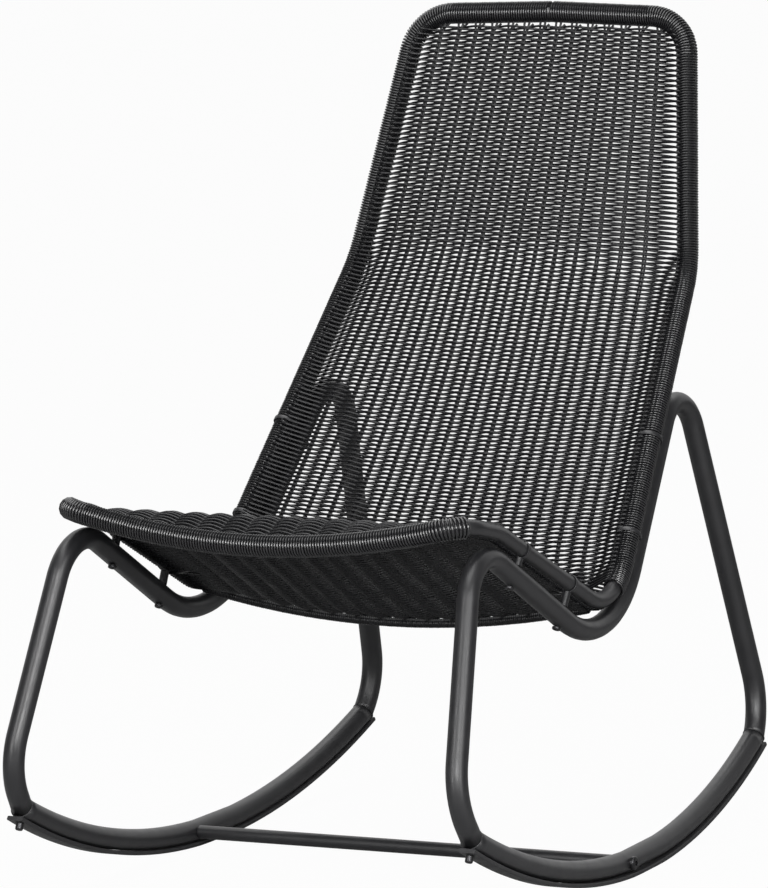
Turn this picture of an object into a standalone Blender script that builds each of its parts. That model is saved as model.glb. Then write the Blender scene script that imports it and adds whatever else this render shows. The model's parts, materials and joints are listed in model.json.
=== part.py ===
"""Rocking chair: a woven shell, held by clamps on two bent steel side frames with curved rockers.

Metres, +Z up. The chair faces -Y, X = 0 is its plane of symmetry, and the rockers' centre is over Y = 0
until the finished chair is moved to stand over the origin.
"""

import math

import bmesh
import bpy
import numpy as np

# Clearance left between pieces that touch
CLEARANCE = 0.0003

# Side frames: round steel tube
FRAME_TUBE_DIAMETER = 0.025
FRAME_TUBE_WALL = 0.0015
FRAME_INSET = 0.0055
FRAME_SPLAY = 0.0886
FRAME_TOE = 0.0348
FRONT_LEG_LEAN = 23.9
REAR_LEG_LEAN = 15.4
FRONT_KNEE_RADIUS = 0.080
FRONT_BEND_RADIUS = 0.0585
SEAT_BEND_RADIUS = 0.150
PEAK_BEND_RADIUS = 0.047
REAR_KNEE_RADIUS = 0.080
FRONT_KNEE_LENGTH = 0.0588
REAR_KNEE_LENGTH = 0.0444
WELD_TURN = 32.0

# Rockers and the soles under them
ROCKER_RADIUS = 0.922
ROCKER_FRONT_REACH = 0.427
ROCKER_REAR_REACH = 0.346
SOLE_WIDTH = 0.020
SOLE_THICKNESS = 0.005
SOLE_OVERHANG = 0.008
SOLE_FLAT_LENGTH = 0.090

# Stretcher between the rockers
STRETCHER_DIAMETER = 0.016
STRETCHER_WALL = 0.0015
STRETCHER_Y = -0.053
INSERT_LENGTH = 0.022

# Shell tube: side outline from the front corner to the top corner
SHELL_TUBE_DIAMETER = 0.019
SHELL_TUBE_WALL = 0.0012
SEAT_FRONT_Y = -0.361
SEAT_FRONT_HEIGHT = 0.4606
LIP_LENGTH = 0.080
LIP_SLOPE = 15.4
SEAT_LENGTH = 0.302
SEAT_SLOPE = 27.8
LOWER_BACK_LENGTH = 0.4747
LOWER_BACK_RECLINE = 42.2
UPPER_BACK_LENGTH = 0.302
UPPER_BACK_RECLINE = 20.27
LIP_BEND_RADIUS = 0.100
SEAT_BACK_BEND_RADIUS = 0.085
SHOULDER_BEND_RADIUS = 0.127
FRONT_CORNER_RADIUS = 0.035
TOP_CORNER_RADIUS = 0.053
SEAT_BACK_HALF_WIDTH = 0.262
SEAT_FRONT_TAPER = 0.0045
FRONT_HALF_WIDTH = SEAT_BACK_HALF_WIDTH - SEAT_FRONT_TAPER
SHOULDER_HALF_WIDTH = 0.2187
TOP_HALF_WIDTH = 0.178
TOP_BOW = 0.005

# Hollow of the woven panel at its middle, below or behind the side tubes: the front edge hangs low, the seat
# starts level with its sides a little behind it and sinks towards the hem; above the hem the panel swells
# forward instead, most at the shoulder, where the ribs cut across the bend of the tubes
FRONT_HOLLOW = 0.034
CREST_PLACE = 0.055
HEM_HOLLOW = 0.030
LOWER_BACK_HOLLOW = -0.010
SHOULDER_HOLLOW = -0.039
HEM_EASE = 0.130
SHOULDER_EASE = 0.030
FADE_DOWN = 3.3
FADE_UP = 1.1

# Wicker: ribs, woven sheets, cross rod and the wraps round the edges
RIB_COUNT = 14
RIB_DIAMETER = 0.005
OUTER_RIB_SHARE = 0.803
RIB_CROWDING = 0.05
WEAVE_THICKNESS = 0.0022
WEAVE_EDGE_GAP = 0.0025
WEAVE_OPENINGS_ACROSS = 8
SEAT_OPENINGS_ALONG = 5
BACK_OPENINGS_ALONG = 10
WEAVE_STRIP_WIDTH = 0.026
WEAVE_BAND_LENGTH = 0.034
CROSS_ROD_DIAMETER = 0.010
CROSS_ROD_TURN = 0.25
WRAP_THICKNESS = 0.0025
WRAP_START_TURN = 0.65

# Clamps that carry the shell, and their bolts: the front one sits behind the lip's bend, the next one ahead
# of the seat's rear corner, and the other two up the back from that corner
SEAT_CLAMP_FROM_LIP = 0.062
SEAT_CLAMP_FROM_BACK = 0.115
BACK_CLAMP_FROM_SEAT = 0.107
BACK_CLAMP_SPACING = 0.131
SEAT_GAP_FRONT = 0.010
SEAT_GAP_REAR = 0.018
BACK_GAP = 0.0055
CLAMP_BAND_WIDTH = 0.005
CLAMP_BAND_THICKNESS = 0.0012
CLAMP_POST_DIAMETER = 0.010
CLAMP_BOLT_DIAMETER = 0.005
CLAMP_BOLT_HEAD_DIAMETER = 0.010
CLAMP_BOLT_HEAD_HEIGHT = 0.003
CLAMP_POST_FLOOR = 0.0010

# Stretcher bolts and sole screws
STRETCHER_BOLT_DIAMETER = 0.008
STRETCHER_BOLT_HEAD_DIAMETER = 0.016
STRETCHER_BOLT_HEAD_HEIGHT = 0.005
STRETCHER_BOLT_GRIP = 0.016
SOLE_SCREW_DIAMETER = 0.004
SOLE_SCREW_HEAD_DIAMETER = 0.009
FRONT_SCREW_HEAD_HEIGHT = 0.008
REAR_SCREW_HEAD_HEIGHT = 0.003
SOLE_SCREW_GRIP = 0.003
SOLE_SCREW_INSET = 0.003

# Domed bolt heads, as shares of the head: straight rim, rounded shoulder and flat top
HEAD_RIM_HEIGHT = 0.45
HEAD_SHOULDER_HEIGHT = 0.85
HEAD_SHOULDER_WIDTH = 0.80
HEAD_TOP_WIDTH = 0.45

# Number of flats round each kind of piece, and the turn between rings in a bend
FRAME_SIDES = 10
SHELL_SIDES = 8
ROD_SIDES = 6
SMALL_SIDES = 10
BEND_STEP = math.radians(15.0)
FINE_STEP = math.radians(2.0)
SHARP_ANGLE = math.radians(40.0)
ROCKER_STEPS = 6
STATION_SPACING = 0.110
FRONT_RAIL_STEPS = 6

# Directions that no tube or bolt runs along, from which the first flat of a ring is set out
TUBE_ASIDE = np.array([0.3, 0.5, 0.8])
TURNED_ASIDE = np.array([0.31, 0.52, 0.79])

# Factors that place a piece of the right side, or its mirror image
SIDES = {"left": np.array([-1.0, 1.0, 1.0]), "right": np.array([1.0, 1.0, 1.0])}

SEAT_CLAMP_PLACES = (SEAT_CLAMP_FROM_LIP, SEAT_LENGTH - SEAT_CLAMP_FROM_BACK)
BACK_CLAMP_PLACES = (BACK_CLAMP_FROM_SEAT, BACK_CLAMP_FROM_SEAT + BACK_CLAMP_SPACING)
FRAME_TUBE_RADIUS = FRAME_TUBE_DIAMETER / 2
SHELL_TUBE_RADIUS = SHELL_TUBE_DIAMETER / 2
WRAP_BORE_RADIUS = (SHELL_TUBE_RADIUS + CLEARANCE) / math.cos(math.pi / SHELL_SIDES)
WRAP_RADIUS = WRAP_BORE_RADIUS + WRAP_THICKNESS
RIB_RADIUS = RIB_DIAMETER / 2
CROSS_ROD_RADIUS = CROSS_ROD_DIAMETER / 2
WEAVE_LIFT = RIB_RADIUS + 2 * CLEARANCE


def unit(vector):
    return vector / np.linalg.norm(vector)


def heading(degrees):
    """Unit vector in the side view (Y, Z), turned up from +Y."""
    angle = math.radians(degrees)
    return np.array([math.cos(angle), math.sin(angle)])


def crossing(start_a, along_a, start_b, along_b):
    """Point where two lines of the side view cross."""
    steps = np.linalg.solve(np.column_stack([along_a, -along_b]), start_b - start_a)
    return start_a + along_a * steps[0]


def rounded_path(corners, step):
    """Points along straight runs through (point, bend radius) corners, with an arc at each corner."""
    points = [np.array(corners[0][0], float)]
    for before, (corner, radius), after in zip(corners, corners[1:], corners[2:]):
        inward = unit(corner - before[0])
        outward = unit(after[0] - corner)
        turn = math.acos(np.clip(inward @ outward, -1, 1))
        if radius == 0 or turn < FINE_STEP:
            points.append(np.array(corner, float))
            continue
        start = corner - inward * radius * math.tan(turn / 2)
        centre = corner + unit(outward - inward) * radius / math.cos(turn / 2)
        count = math.ceil(turn / step)
        for angle in np.linspace(0, turn, count + 1):
            points.append(centre + (start - centre) * math.cos(angle) + inward * radius * math.sin(angle))
    points.append(np.array(corners[-1][0], float))
    return np.array(points)


def lengths_along(path):
    """Distance from the path's start to each of its points."""
    return np.concatenate([[0.0], np.cumsum(np.linalg.norm(np.diff(path, axis=0), axis=1))])


def point_at(path, length):
    lengths = lengths_along(path)
    return np.array([np.interp(length, lengths, path[:, axis]) for axis in range(path.shape[1])])


def closest_on(path, point):
    """(distance along, closest point, distance away) of the place on the path nearest to a point."""
    starts = path[:-1]
    runs = np.diff(path, axis=0)
    share = np.clip(((point - starts) * runs).sum(1) / (runs * runs).sum(1), 0, 1)
    feet = starts + runs * share[:, None]
    away = np.linalg.norm(feet - point, axis=1)
    best = int(np.argmin(away))
    along = lengths_along(path)[best] + share[best] * np.linalg.norm(runs[best])
    return along, feet[best], away[best]


def part_of_path(path, start, end):
    """The stretch of a path between two distances along it."""
    lengths = lengths_along(path)
    inside = path[(lengths > start + CLEARANCE) & (lengths < end - CLEARANCE)]
    return np.vstack([point_at(path, start), inside, point_at(path, end)])


def tangent_at(path, length):
    """Direction of the straight run that holds this distance along the path."""
    lengths = lengths_along(path)
    run = int(np.clip(np.searchsorted(lengths, length) - 1, 0, len(path) - 2))
    return unit(path[run + 1] - path[run])


def mirrored(path):
    return path * SIDES["left"]


def finish(name, colour, roughness, metallic):
    """A plain surface finish."""
    material = bpy.data.materials.new(name)
    material.use_nodes = True
    shader = material.node_tree.nodes["Principled BSDF"]
    shader.inputs["Base Color"].default_value = (*colour, 1.0)
    shader.inputs["Roughness"].default_value = roughness
    shader.inputs["Metallic"].default_value = metallic
    return material


def new_piece(name, points, faces, material):
    """A named object from points and faces, smooth over its round faces, without the points no face uses."""
    mesh = bpy.data.meshes.new(name)
    mesh.from_pydata([tuple(point) for point in points], [], faces)
    shape = bmesh.new()
    shape.from_mesh(mesh)
    unused = [point for point in shape.verts if not point.link_faces]
    bmesh.ops.delete(shape, geom=unused, context="VERTS")
    bmesh.ops.recalc_face_normals(shape, faces=shape.faces)
    if shape.calc_volume(signed=True) < 0:
        bmesh.ops.reverse_faces(shape, faces=shape.faces)
    shape.to_mesh(mesh)
    shape.free()
    mesh.shade_smooth()
    mesh.set_sharp_from_angle(angle=SHARP_ANGLE)
    mesh.materials.append(material)
    piece = bpy.data.objects.new(name, mesh)
    bpy.context.scene.collection.objects.link(piece)
    piece.parent = bpy.data.objects["chair"]
    return piece


def rings_along(path, radius, sides, start_normal, end_normal):
    """A ring of points at each point of the path, mitred at each turn."""
    runs = [unit(run) for run in np.diff(path, axis=0)]
    normals = [start_normal if start_normal is not None else runs[0]]
    normals += [unit(before + after) for before, after in zip(runs, runs[1:])]
    normals.append(end_normal if end_normal is not None else runs[-1])
    across = unit(np.cross(runs[0], TUBE_ASIDE))
    upward = np.cross(runs[0], across)
    angles = np.arange(sides) * 2 * math.pi / sides
    ring = path[0] + radius * (np.outer(np.cos(angles), across) + np.outer(np.sin(angles), upward))
    rings = []
    for place, run, normal in zip(path, [runs[0]] + runs, normals):
        slide = ((place - ring) @ normal) / (run @ normal)
        ring = ring + np.outer(slide, run)
        rings.append(ring)
    return rings


def tube(name, path, radius, bore, sides, material, start_normal=None, end_normal=None):
    """A round tube along a path, open at both ends, or a solid rod where the bore is 0."""
    count = len(path)
    rings = rings_along(path, radius, sides, start_normal, end_normal)
    if bore:
        rings += rings_along(path, bore, sides, start_normal, end_normal)[::-1]
    points = np.vstack(rings)
    faces = []
    for row in range(len(rings) if bore else count - 1):
        below = row * sides
        above = (row + 1) % len(rings) * sides
        for side in range(sides):
            beside = (side + 1) % sides
            faces.append((below + side, below + beside, above + beside, above + side))
    if not bore:
        faces.append(tuple(range(sides))[::-1])
        faces.append(tuple((count - 1) * sides + side for side in range(sides)))
    return new_piece(name, points, faces, material)


def turned(name, outline, base, axis, sides, material, closed=False):
    """A piece turned round an axis from an outline of (radius, height), closed by a loop or by end caps."""
    axis = unit(np.array(axis, float))
    across = unit(np.cross(axis, TURNED_ASIDE))
    upward = np.cross(axis, across)
    angles = np.arange(sides) * 2 * math.pi / sides
    circle = np.outer(np.cos(angles), across) + np.outer(np.sin(angles), upward)
    points = np.vstack([base + axis * height + circle * radius for radius, height in outline])
    count = len(outline)
    faces = []
    for row in range(count if closed else count - 1):
        below = row * sides
        above = (row + 1) % count * sides
        for side in range(sides):
            beside = (side + 1) % sides
            faces.append((below + side, below + beside, above + beside, above + side))
    if not closed:
        faces.append(tuple(range(sides))[::-1])
        faces.append(tuple((count - 1) * sides + side for side in range(sides)))
    return new_piece(name, points, faces, material)


def combine(piece, helper, operation):
    """Cuts a helper shape out of a piece, or joins it on."""
    helper.hide_render = True
    helper.display_type = "WIRE"
    change = piece.modifiers.new(helper.name, "BOOLEAN")
    change.operation = operation
    change.solver = "EXACT"
    change.object = helper


def drill(piece, name, start, axis, length, diameter):
    """A round hole, wide enough for a shank of this diameter."""
    radius = (diameter / 2 + CLEARANCE) / math.cos(math.pi / SMALL_SIDES)
    outline = [(radius, 0.0), (radius, length)]
    cutter = turned(name + "_cutter", outline, start, axis, SMALL_SIDES, piece.data.materials[0])
    combine(piece, cutter, "DIFFERENCE")


def domed_bolt(name, seat, axis, shank_diameter, shank_length, head_diameter, head_height, material):
    """A round-headed bolt: its head sits on the seat, and its shank runs along the axis."""
    shank = shank_diameter / 2
    head = head_diameter / 2
    outline = [
        (shank, shank_length),
        (shank, 0.0),
        (head, 0.0),
        (head, -head_height * HEAD_RIM_HEIGHT),
        (head * HEAD_SHOULDER_WIDTH, -head_height * HEAD_SHOULDER_HEIGHT),
        (head * HEAD_TOP_WIDTH, -head_height),
    ]
    return turned(name, outline[::-1], seat, axis, SMALL_SIDES, material)


for old in list(bpy.data.objects):
    bpy.data.objects.remove(old, do_unlink=True)

origin = bpy.data.objects.new("chair", None)
bpy.context.scene.collection.objects.link(origin)

POWDER_COAT = finish("black_powder_coat", (0.030, 0.030, 0.033), 0.42, 0.0)
WICKER = finish("black_wicker", (0.018, 0.018, 0.020), 0.38, 0.0)
SOLE_PLASTIC = finish("black_sole", (0.022, 0.022, 0.024), 0.50, 0.0)
BLACK_BOLT = finish("black_bolt", (0.040, 0.040, 0.043), 0.35, 0.8)
BARE_STEEL = finish("bare_steel", (0.450, 0.450, 0.460), 0.35, 1.0)

# Side outline of the shell, as corners in the side view
FRONT_CORNER = np.array([SEAT_FRONT_Y, SEAT_FRONT_HEIGHT])
LIP_CORNER = FRONT_CORNER + LIP_LENGTH * heading(-LIP_SLOPE)
SEAT_BACK_CORNER = LIP_CORNER + SEAT_LENGTH * heading(-SEAT_SLOPE)
SHOULDER_CORNER = SEAT_BACK_CORNER + LOWER_BACK_LENGTH * heading(90 - LOWER_BACK_RECLINE)
TOP_CORNER = SHOULDER_CORNER + UPPER_BACK_LENGTH * heading(90 - UPPER_BACK_RECLINE)
LIP_SHARE = LIP_LENGTH / (LIP_LENGTH + SEAT_LENGTH)
LIP_HALF_WIDTH = FRONT_HALF_WIDTH + (SEAT_BACK_HALF_WIDTH - FRONT_HALF_WIDTH) * LIP_SHARE


def at_side(half_width, corner):
    return np.array([half_width, corner[0], corner[1]])


SIDE_CORNERS = [
    (at_side(FRONT_HALF_WIDTH, FRONT_CORNER), FRONT_CORNER_RADIUS),
    (at_side(LIP_HALF_WIDTH, LIP_CORNER), LIP_BEND_RADIUS),
    (at_side(SEAT_BACK_HALF_WIDTH, SEAT_BACK_CORNER), SEAT_BACK_BEND_RADIUS),
    (at_side(SHOULDER_HALF_WIDTH, SHOULDER_CORNER), SHOULDER_BEND_RADIUS),
    (at_side(TOP_HALF_WIDTH, TOP_CORNER), TOP_CORNER_RADIUS),
]
EDGE = rounded_path(SIDE_CORNERS, FINE_STEP)
EDGE_LENGTHS = lengths_along(EDGE)
EDGE_LENGTH = EDGE_LENGTHS[-1]
SEAT_BACK_PLACE = closest_on(EDGE, SIDE_CORNERS[2][0])[0]
SHOULDER_PLACE = closest_on(EDGE, SIDE_CORNERS[3][0])[0]
REAR_BEND_LENGTH = SEAT_BACK_BEND_RADIUS * math.radians(SEAT_SLOPE + 90 - LOWER_BACK_RECLINE)
CROSS_ROD_PLACE = SEAT_BACK_PLACE + REAR_BEND_LENGTH * (CROSS_ROD_TURN - 0.5)
WRAP_START_PLACE = SEAT_BACK_PLACE + REAR_BEND_LENGTH * (WRAP_START_TURN - 0.5)


def edge_normals():
    """Directions square to the side outline, towards the sitter."""
    runs = np.gradient(EDGE[:, 1:], EDGE_LENGTHS, axis=0)
    runs /= np.linalg.norm(runs, axis=1)[:, None]
    return np.column_stack([-runs[:, 1], runs[:, 0]])


EDGE_NORMALS = edge_normals()


def near_shoulder(place, far):
    """1 at the shoulder, falling to 0 at the far place, rounded off where it peaks."""
    away = math.hypot(place - SHOULDER_PLACE, SHOULDER_EASE) - SHOULDER_EASE
    return 1 - away / (math.hypot(far - SHOULDER_PLACE, SHOULDER_EASE) - SHOULDER_EASE)


def hollow_at(place):
    """How far the middle of the panel lies behind its edges, at a distance along the side outline."""
    if place < CROSS_ROD_PLACE:
        front = FRONT_HOLLOW * (1 + math.cos(math.pi * min(1.0, place / CREST_PLACE))) / 2
        return front + HEM_HOLLOW * max(0.0, (place - CREST_PLACE) / (CROSS_ROD_PLACE - CREST_PLACE))
    if place > SHOULDER_PLACE:
        return SHOULDER_HOLLOW * near_shoulder(place, EDGE_LENGTH) ** FADE_UP
    peak = near_shoulder(place, CROSS_ROD_PLACE) ** FADE_DOWN
    back = LOWER_BACK_HOLLOW + (SHOULDER_HOLLOW - LOWER_BACK_HOLLOW) * peak
    climb = min(1.0, (place - CROSS_ROD_PLACE) / HEM_EASE)
    return back + (HEM_HOLLOW - back) * (1 + math.cos(math.pi * climb)) / 2


def panel_point(place, across, lift):
    """A point of the panel: a distance along, a share across (-1 to 1) and a height towards the sitter."""
    half_width, depth, height = point_at(EDGE, place)
    normal = [np.interp(place, EDGE_LENGTHS, EDGE_NORMALS[:, axis]) for axis in range(2)]
    rise = lift - hollow_at(place) * (1 - across * across)
    return np.array([across * half_width, depth + normal[0] * rise, height + normal[1] * rise])


def panel_stations():
    """Distances along the side outline, closer together where it bends."""
    stations = [0.0]
    turned_so_far = 0.0
    for index in range(1, len(EDGE) - 1):
        before = unit(EDGE[index] - EDGE[index - 1])
        after = unit(EDGE[index + 1] - EDGE[index])
        turned_so_far += math.acos(np.clip(before @ after, -1, 1))
        while EDGE_LENGTHS[index] - stations[-1] > STATION_SPACING:
            stations.append(stations[-1] + STATION_SPACING)
        if turned_so_far >= BEND_STEP:
            stations.append(EDGE_LENGTHS[index])
            turned_so_far = 0.0
    while EDGE_LENGTH - stations[-1] > STATION_SPACING:
        stations.append(stations[-1] + STATION_SPACING)
    apart = [place for place in stations if abs(place - CROSS_ROD_PLACE) > CROSS_ROD_RADIUS]
    return sorted(apart + [CREST_PLACE / 2, CREST_PLACE, CROSS_ROD_PLACE, EDGE_LENGTH])


STATIONS = panel_stations()


def shell_tube_path():
    """Centre line of the shell tube, from the middle of the top down the right side and round to it again."""
    top_middle = at_side(0.0, TOP_CORNER + TOP_BOW * heading(90 - UPPER_BACK_RECLINE))
    right = [(top_middle, 0)] + SIDE_CORNERS[::-1]
    shares = np.linspace(1, -1, FRONT_RAIL_STEPS + 1)[1:-1]
    front = [(panel_point(0.0, share, 0.0), 0) for share in shares]
    left = [(mirrored(corner), radius) for corner, radius in right[::-1]]
    path = rounded_path(right + front + left, BEND_STEP)
    path[0, 0] += CLEARANCE / 2
    path[-1, 0] -= CLEARANCE / 2
    return path


SHELL_PATH = shell_tube_path()


def build_shell_tube():
    """One bent tube, whose two ends meet in the middle of the top."""
    bore = SHELL_TUBE_RADIUS - SHELL_TUBE_WALL
    tube("shell_tube", SHELL_PATH, SHELL_TUBE_RADIUS, bore, SHELL_SIDES, POWDER_COAT)


def front_corner_reach():
    """Distance from a front corner to where its bend meets the straight side."""
    rail = unit(panel_point(0.0, 1 - 2 / FRONT_RAIL_STEPS, 0.0) - SIDE_CORNERS[0][0])
    side = unit(SIDE_CORNERS[1][0] - SIDE_CORNERS[0][0])
    return FRONT_CORNER_RADIUS / math.tan(math.acos(rail @ side) / 2)


def build_edge_wraps():
    """Wicker wound round the back edges, up to the middle of the top, and round the front edge."""
    whole = lengths_along(SHELL_PATH)[-1]
    back_end = closest_on(SHELL_PATH, point_at(EDGE, WRAP_START_PLACE))[0]
    front_start = closest_on(SHELL_PATH, point_at(EDGE, front_corner_reach()))[0]
    right = part_of_path(SHELL_PATH, CLEARANCE, back_end)
    front = part_of_path(SHELL_PATH, front_start, whole - front_start)
    for name, path in (
        ("right_back_edge_wrap", right),
        ("left_back_edge_wrap", mirrored(right)),
        ("front_edge_wrap", front),
    ):
        tube(name, path, WRAP_RADIUS, WRAP_BORE_RADIUS, SHELL_SIDES, WICKER)


def clear_place(across, lifts, low, high):
    """The distance along the panel, from inside towards high, where a column meets the edge wrap."""
    needed = WRAP_RADIUS + CLEARANCE
    inside = low
    outside = high
    for _ in range(30):
        middle = (inside + outside) / 2
        points = [panel_point(middle, across + shift, lift) for shift, lift in lifts]
        if min(closest_on(SHELL_PATH, point)[2] for point in points) > needed:
            inside = middle
        else:
            outside = middle
    return inside


def rib_share(index):
    """Place of a rib across the panel, from -1 to 1: a little closer together in the middle."""
    even = (2 * index - 1 - RIB_COUNT) / (RIB_COUNT - 1)
    return OUTER_RIB_SHARE * even * (1 - RIB_CROWDING * (1 - even * even))


def straightened(share, place):
    """Share of the width that keeps a rib straight up the back, where the side tubes bend inward."""
    if place < SEAT_BACK_PLACE:
        return share
    climb = (place - SEAT_BACK_PLACE) / (EDGE_LENGTH - SEAT_BACK_PLACE)
    straight = SEAT_BACK_HALF_WIDTH + (TOP_HALF_WIDTH - SEAT_BACK_HALF_WIDTH) * climb
    return share * straight / point_at(EDGE, place)[0]


def build_ribs():
    """Rods that run from the front edge through the seat and up the back."""
    rim = RIB_RADIUS / TOP_HALF_WIDTH
    lifts = [(shift, lift) for shift in (-rim, 0.0, rim) for lift in (-RIB_RADIUS, 0.0, RIB_RADIUS)]
    for index in range(1, RIB_COUNT + 1):
        across = rib_share(index)
        start = clear_place(across, lifts, SEAT_BACK_PLACE, 0.0)
        end = clear_place(across, lifts, SHOULDER_PLACE, EDGE_LENGTH)
        places = [start] + [place for place in STATIONS if start < place < end] + [end]
        path = np.array([panel_point(place, straightened(across, place), 0.0) for place in places])
        tube(f"rib_{index:02d}", path, RIB_RADIUS, 0, ROD_SIDES, POWDER_COAT)


def sheet_share(share, place):
    """Place of a sheet's column across the panel: the outer columns stay clear of the edge wraps."""
    if abs(share) < 1:
        return share
    margin = WRAP_RADIUS + CLAMP_BAND_THICKNESS + WEAVE_EDGE_GAP
    return share * (1 - margin / point_at(EDGE, place)[0])


def column_share(column, place):
    """Place across the panel of a column that stands a distance beside a share of the width."""
    share, beside = column
    return sheet_share(share, place) + beside / point_at(EDGE, place)[0]


def front_rise(place):
    """How much higher a sheet lies where the panel climbs from the front edge, to stay clear of the ribs."""
    climb = math.pi * min(1.0, place / CREST_PLACE)
    slope = math.pi / 2 * FRONT_HOLLOW / CREST_PLACE * math.sin(climb)
    return WEAVE_LIFT * (math.hypot(1, slope) - 1)


def sheet_columns():
    """Columns of a sheet: its two edges and, in between, both sides of each opening."""
    columns = [(-1.0, 0.0)]
    for order in range(WEAVE_OPENINGS_ACROSS):
        left = 2 * order / WEAVE_OPENINGS_ACROSS - 1
        right = 2 * (order + 1) / WEAVE_OPENINGS_ACROSS - 1
        columns.append((left, WEAVE_STRIP_WIDTH / (1 if left == -1 else 2)))
        columns.append((right, -WEAVE_STRIP_WIDTH / (1 if right == 1 else 2)))
    return columns + [(1.0, 0.0)]


def opening_spans(start, end, count):
    """Where each row of openings starts and ends along the panel, with a band of weave round it."""
    pitch = (end - start - WEAVE_BAND_LENGTH) / count
    starts = start + WEAVE_BAND_LENGTH + pitch * np.arange(count)
    return [(place, place + pitch - WEAVE_BAND_LENGTH) for place in starts]


def woven_sheet(name, ends, turns, spans):
    """A thin closed sheet in front of the ribs, which turns where they do, with a grid of openings."""
    inner = sorted([*turns, *(border for span in spans for border in span)])
    rows = len(inner) + 2
    columns = sheet_columns()
    points = []
    for lift in (WEAVE_LIFT, WEAVE_LIFT + WEAVE_THICKNESS):
        for column, (first, last) in zip(columns, ends):
            knots = [first, *turns, last]
            line = np.array([panel_point(place, column_share(column, place), lift + front_rise(place))
                             for place in knots])
            for place in [first, *inner, last]:
                points.append([np.interp(place, knots, line[:, axis]) for axis in range(3)])
    open_rows = {row for row, (low, high) in enumerate(zip(inner, inner[1:]), 1)
                 if any(start <= low and high <= end for start, end in spans)}
    solid = {(column, row) for column in range(len(columns) - 1) for row in range(rows - 1)
             if column % 2 == 0 or row not in open_rows}
    faces = []
    for column, row in sorted(solid):
        ring = [(column, row), (column + 1, row), (column + 1, row + 1), (column, row + 1)]
        beyond = [(column, row - 1), (column + 1, row), (column, row + 1), (column - 1, row)]
        below = [place[0] * rows + place[1] for place in ring]
        above = [corner + len(columns) * rows for corner in below]
        faces += [tuple(below), tuple(above)]
        for side, neighbour in enumerate(beyond):
            if neighbour not in solid:
                turn = (side + 1) % len(ring)
                faces.append((below[side], below[turn], above[turn], above[side]))
    return new_piece(name, points, faces, WICKER)


def build_woven_sheets():
    """The weave of the seat and of the back, which meet at the cross rod."""
    lifts = [(0.0, WEAVE_LIFT), (0.0, WEAVE_LIFT + WEAVE_THICKNESS)]
    seat_ends = []
    back_ends = []
    for column in sheet_columns():
        start = clear_place(column_share(column, 0.0), lifts, SEAT_BACK_PLACE, 0.0)
        end = clear_place(column_share(column, EDGE_LENGTH), lifts, SHOULDER_PLACE, EDGE_LENGTH)
        seat_ends.append((start, CROSS_ROD_PLACE - CLEARANCE / 2))
        back_ends.append((CROSS_ROD_PLACE + CLEARANCE / 2, end))
    seat_start = max(start for start, _ in seat_ends)
    back_end = min(end for _, end in back_ends)
    seat_turns = [place for place in STATIONS[1:] if place < CROSS_ROD_PLACE]
    back_turns = [place for place in STATIONS[:-1] if place > CROSS_ROD_PLACE]
    seat_spans = opening_spans(seat_start, CROSS_ROD_PLACE, SEAT_OPENINGS_ALONG)
    back_spans = opening_spans(CROSS_ROD_PLACE, back_end, BACK_OPENINGS_ALONG)
    woven_sheet("seat_weave", seat_ends, seat_turns, seat_spans)
    woven_sheet("back_weave", back_ends, back_turns, back_spans)


def build_cross_rod():
    """The rod across the back of the seat, under the ribs, from side tube to side tube."""
    half_width = point_at(EDGE, CROSS_ROD_PLACE)[0]
    end_share = 1 - (SHELL_TUBE_RADIUS + CLEARANCE) / half_width
    depth = -(RIB_RADIUS / math.cos(BEND_STEP / 2) + CLEARANCE + CROSS_ROD_RADIUS)
    shares = [-end_share, *(rib_share(index) for index in range(1, RIB_COUNT + 1)), end_share]
    path = np.array([panel_point(CROSS_ROD_PLACE, share, depth) for share in shares])
    along = np.array([1.0, 0.0, 0.0])
    tube("seat_back_cross_rod", path, CROSS_ROD_RADIUS, 0, SHELL_SIDES, WICKER, along, along)


# Stand: the plane of each side frame passes under the shell's side tubes
REFERENCE = (LIP_CORNER + SEAT_BACK_CORNER) / 2
REFERENCE_HALF_WIDTH = (LIP_HALF_WIDTH + SEAT_BACK_HALF_WIDTH) / 2 - FRAME_INSET


def in_frame_plane(point):
    """A point of the side view, placed on the leaning plane of the right side frame."""
    depth, height = point
    half_width = REFERENCE_HALF_WIDTH
    half_width -= FRAME_SPLAY * (height - REFERENCE[1]) + FRAME_TOE * (depth - REFERENCE[0])
    return np.array([half_width, depth, height])


FLAT_ANGLE = math.asin(SOLE_FLAT_LENGTH / 2 / ROCKER_RADIUS)
ROCKER_CENTRE = np.array([0.0, ROCKER_RADIUS * math.cos(FLAT_ANGLE)])
ROCKER_TUBE_RADIUS = ROCKER_RADIUS - SOLE_THICKNESS - CLEARANCE - FRAME_TUBE_RADIUS
FRONT_FOOT_ANGLE = -math.asin(ROCKER_FRONT_REACH / ROCKER_TUBE_RADIUS)
REAR_FOOT_ANGLE = math.asin(ROCKER_REAR_REACH / ROCKER_TUBE_RADIUS)


def outward_from_rocker(angle):
    """Direction from the rocker's centre to its rim in the side view."""
    return np.array([math.sin(angle), -math.cos(angle)])


def on_rocker(angle, radius):
    return ROCKER_CENTRE + radius * outward_from_rocker(angle)


def rocker_angles():
    """Angles of the rocker's flats: one level flat to stand on, and even steps to each foot."""
    front = np.linspace(FRONT_FOOT_ANGLE, -FLAT_ANGLE, ROCKER_STEPS + 1)
    rear = np.linspace(FLAT_ANGLE, REAR_FOOT_ANGLE, ROCKER_STEPS + 1)
    return np.concatenate([front, rear])


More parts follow.
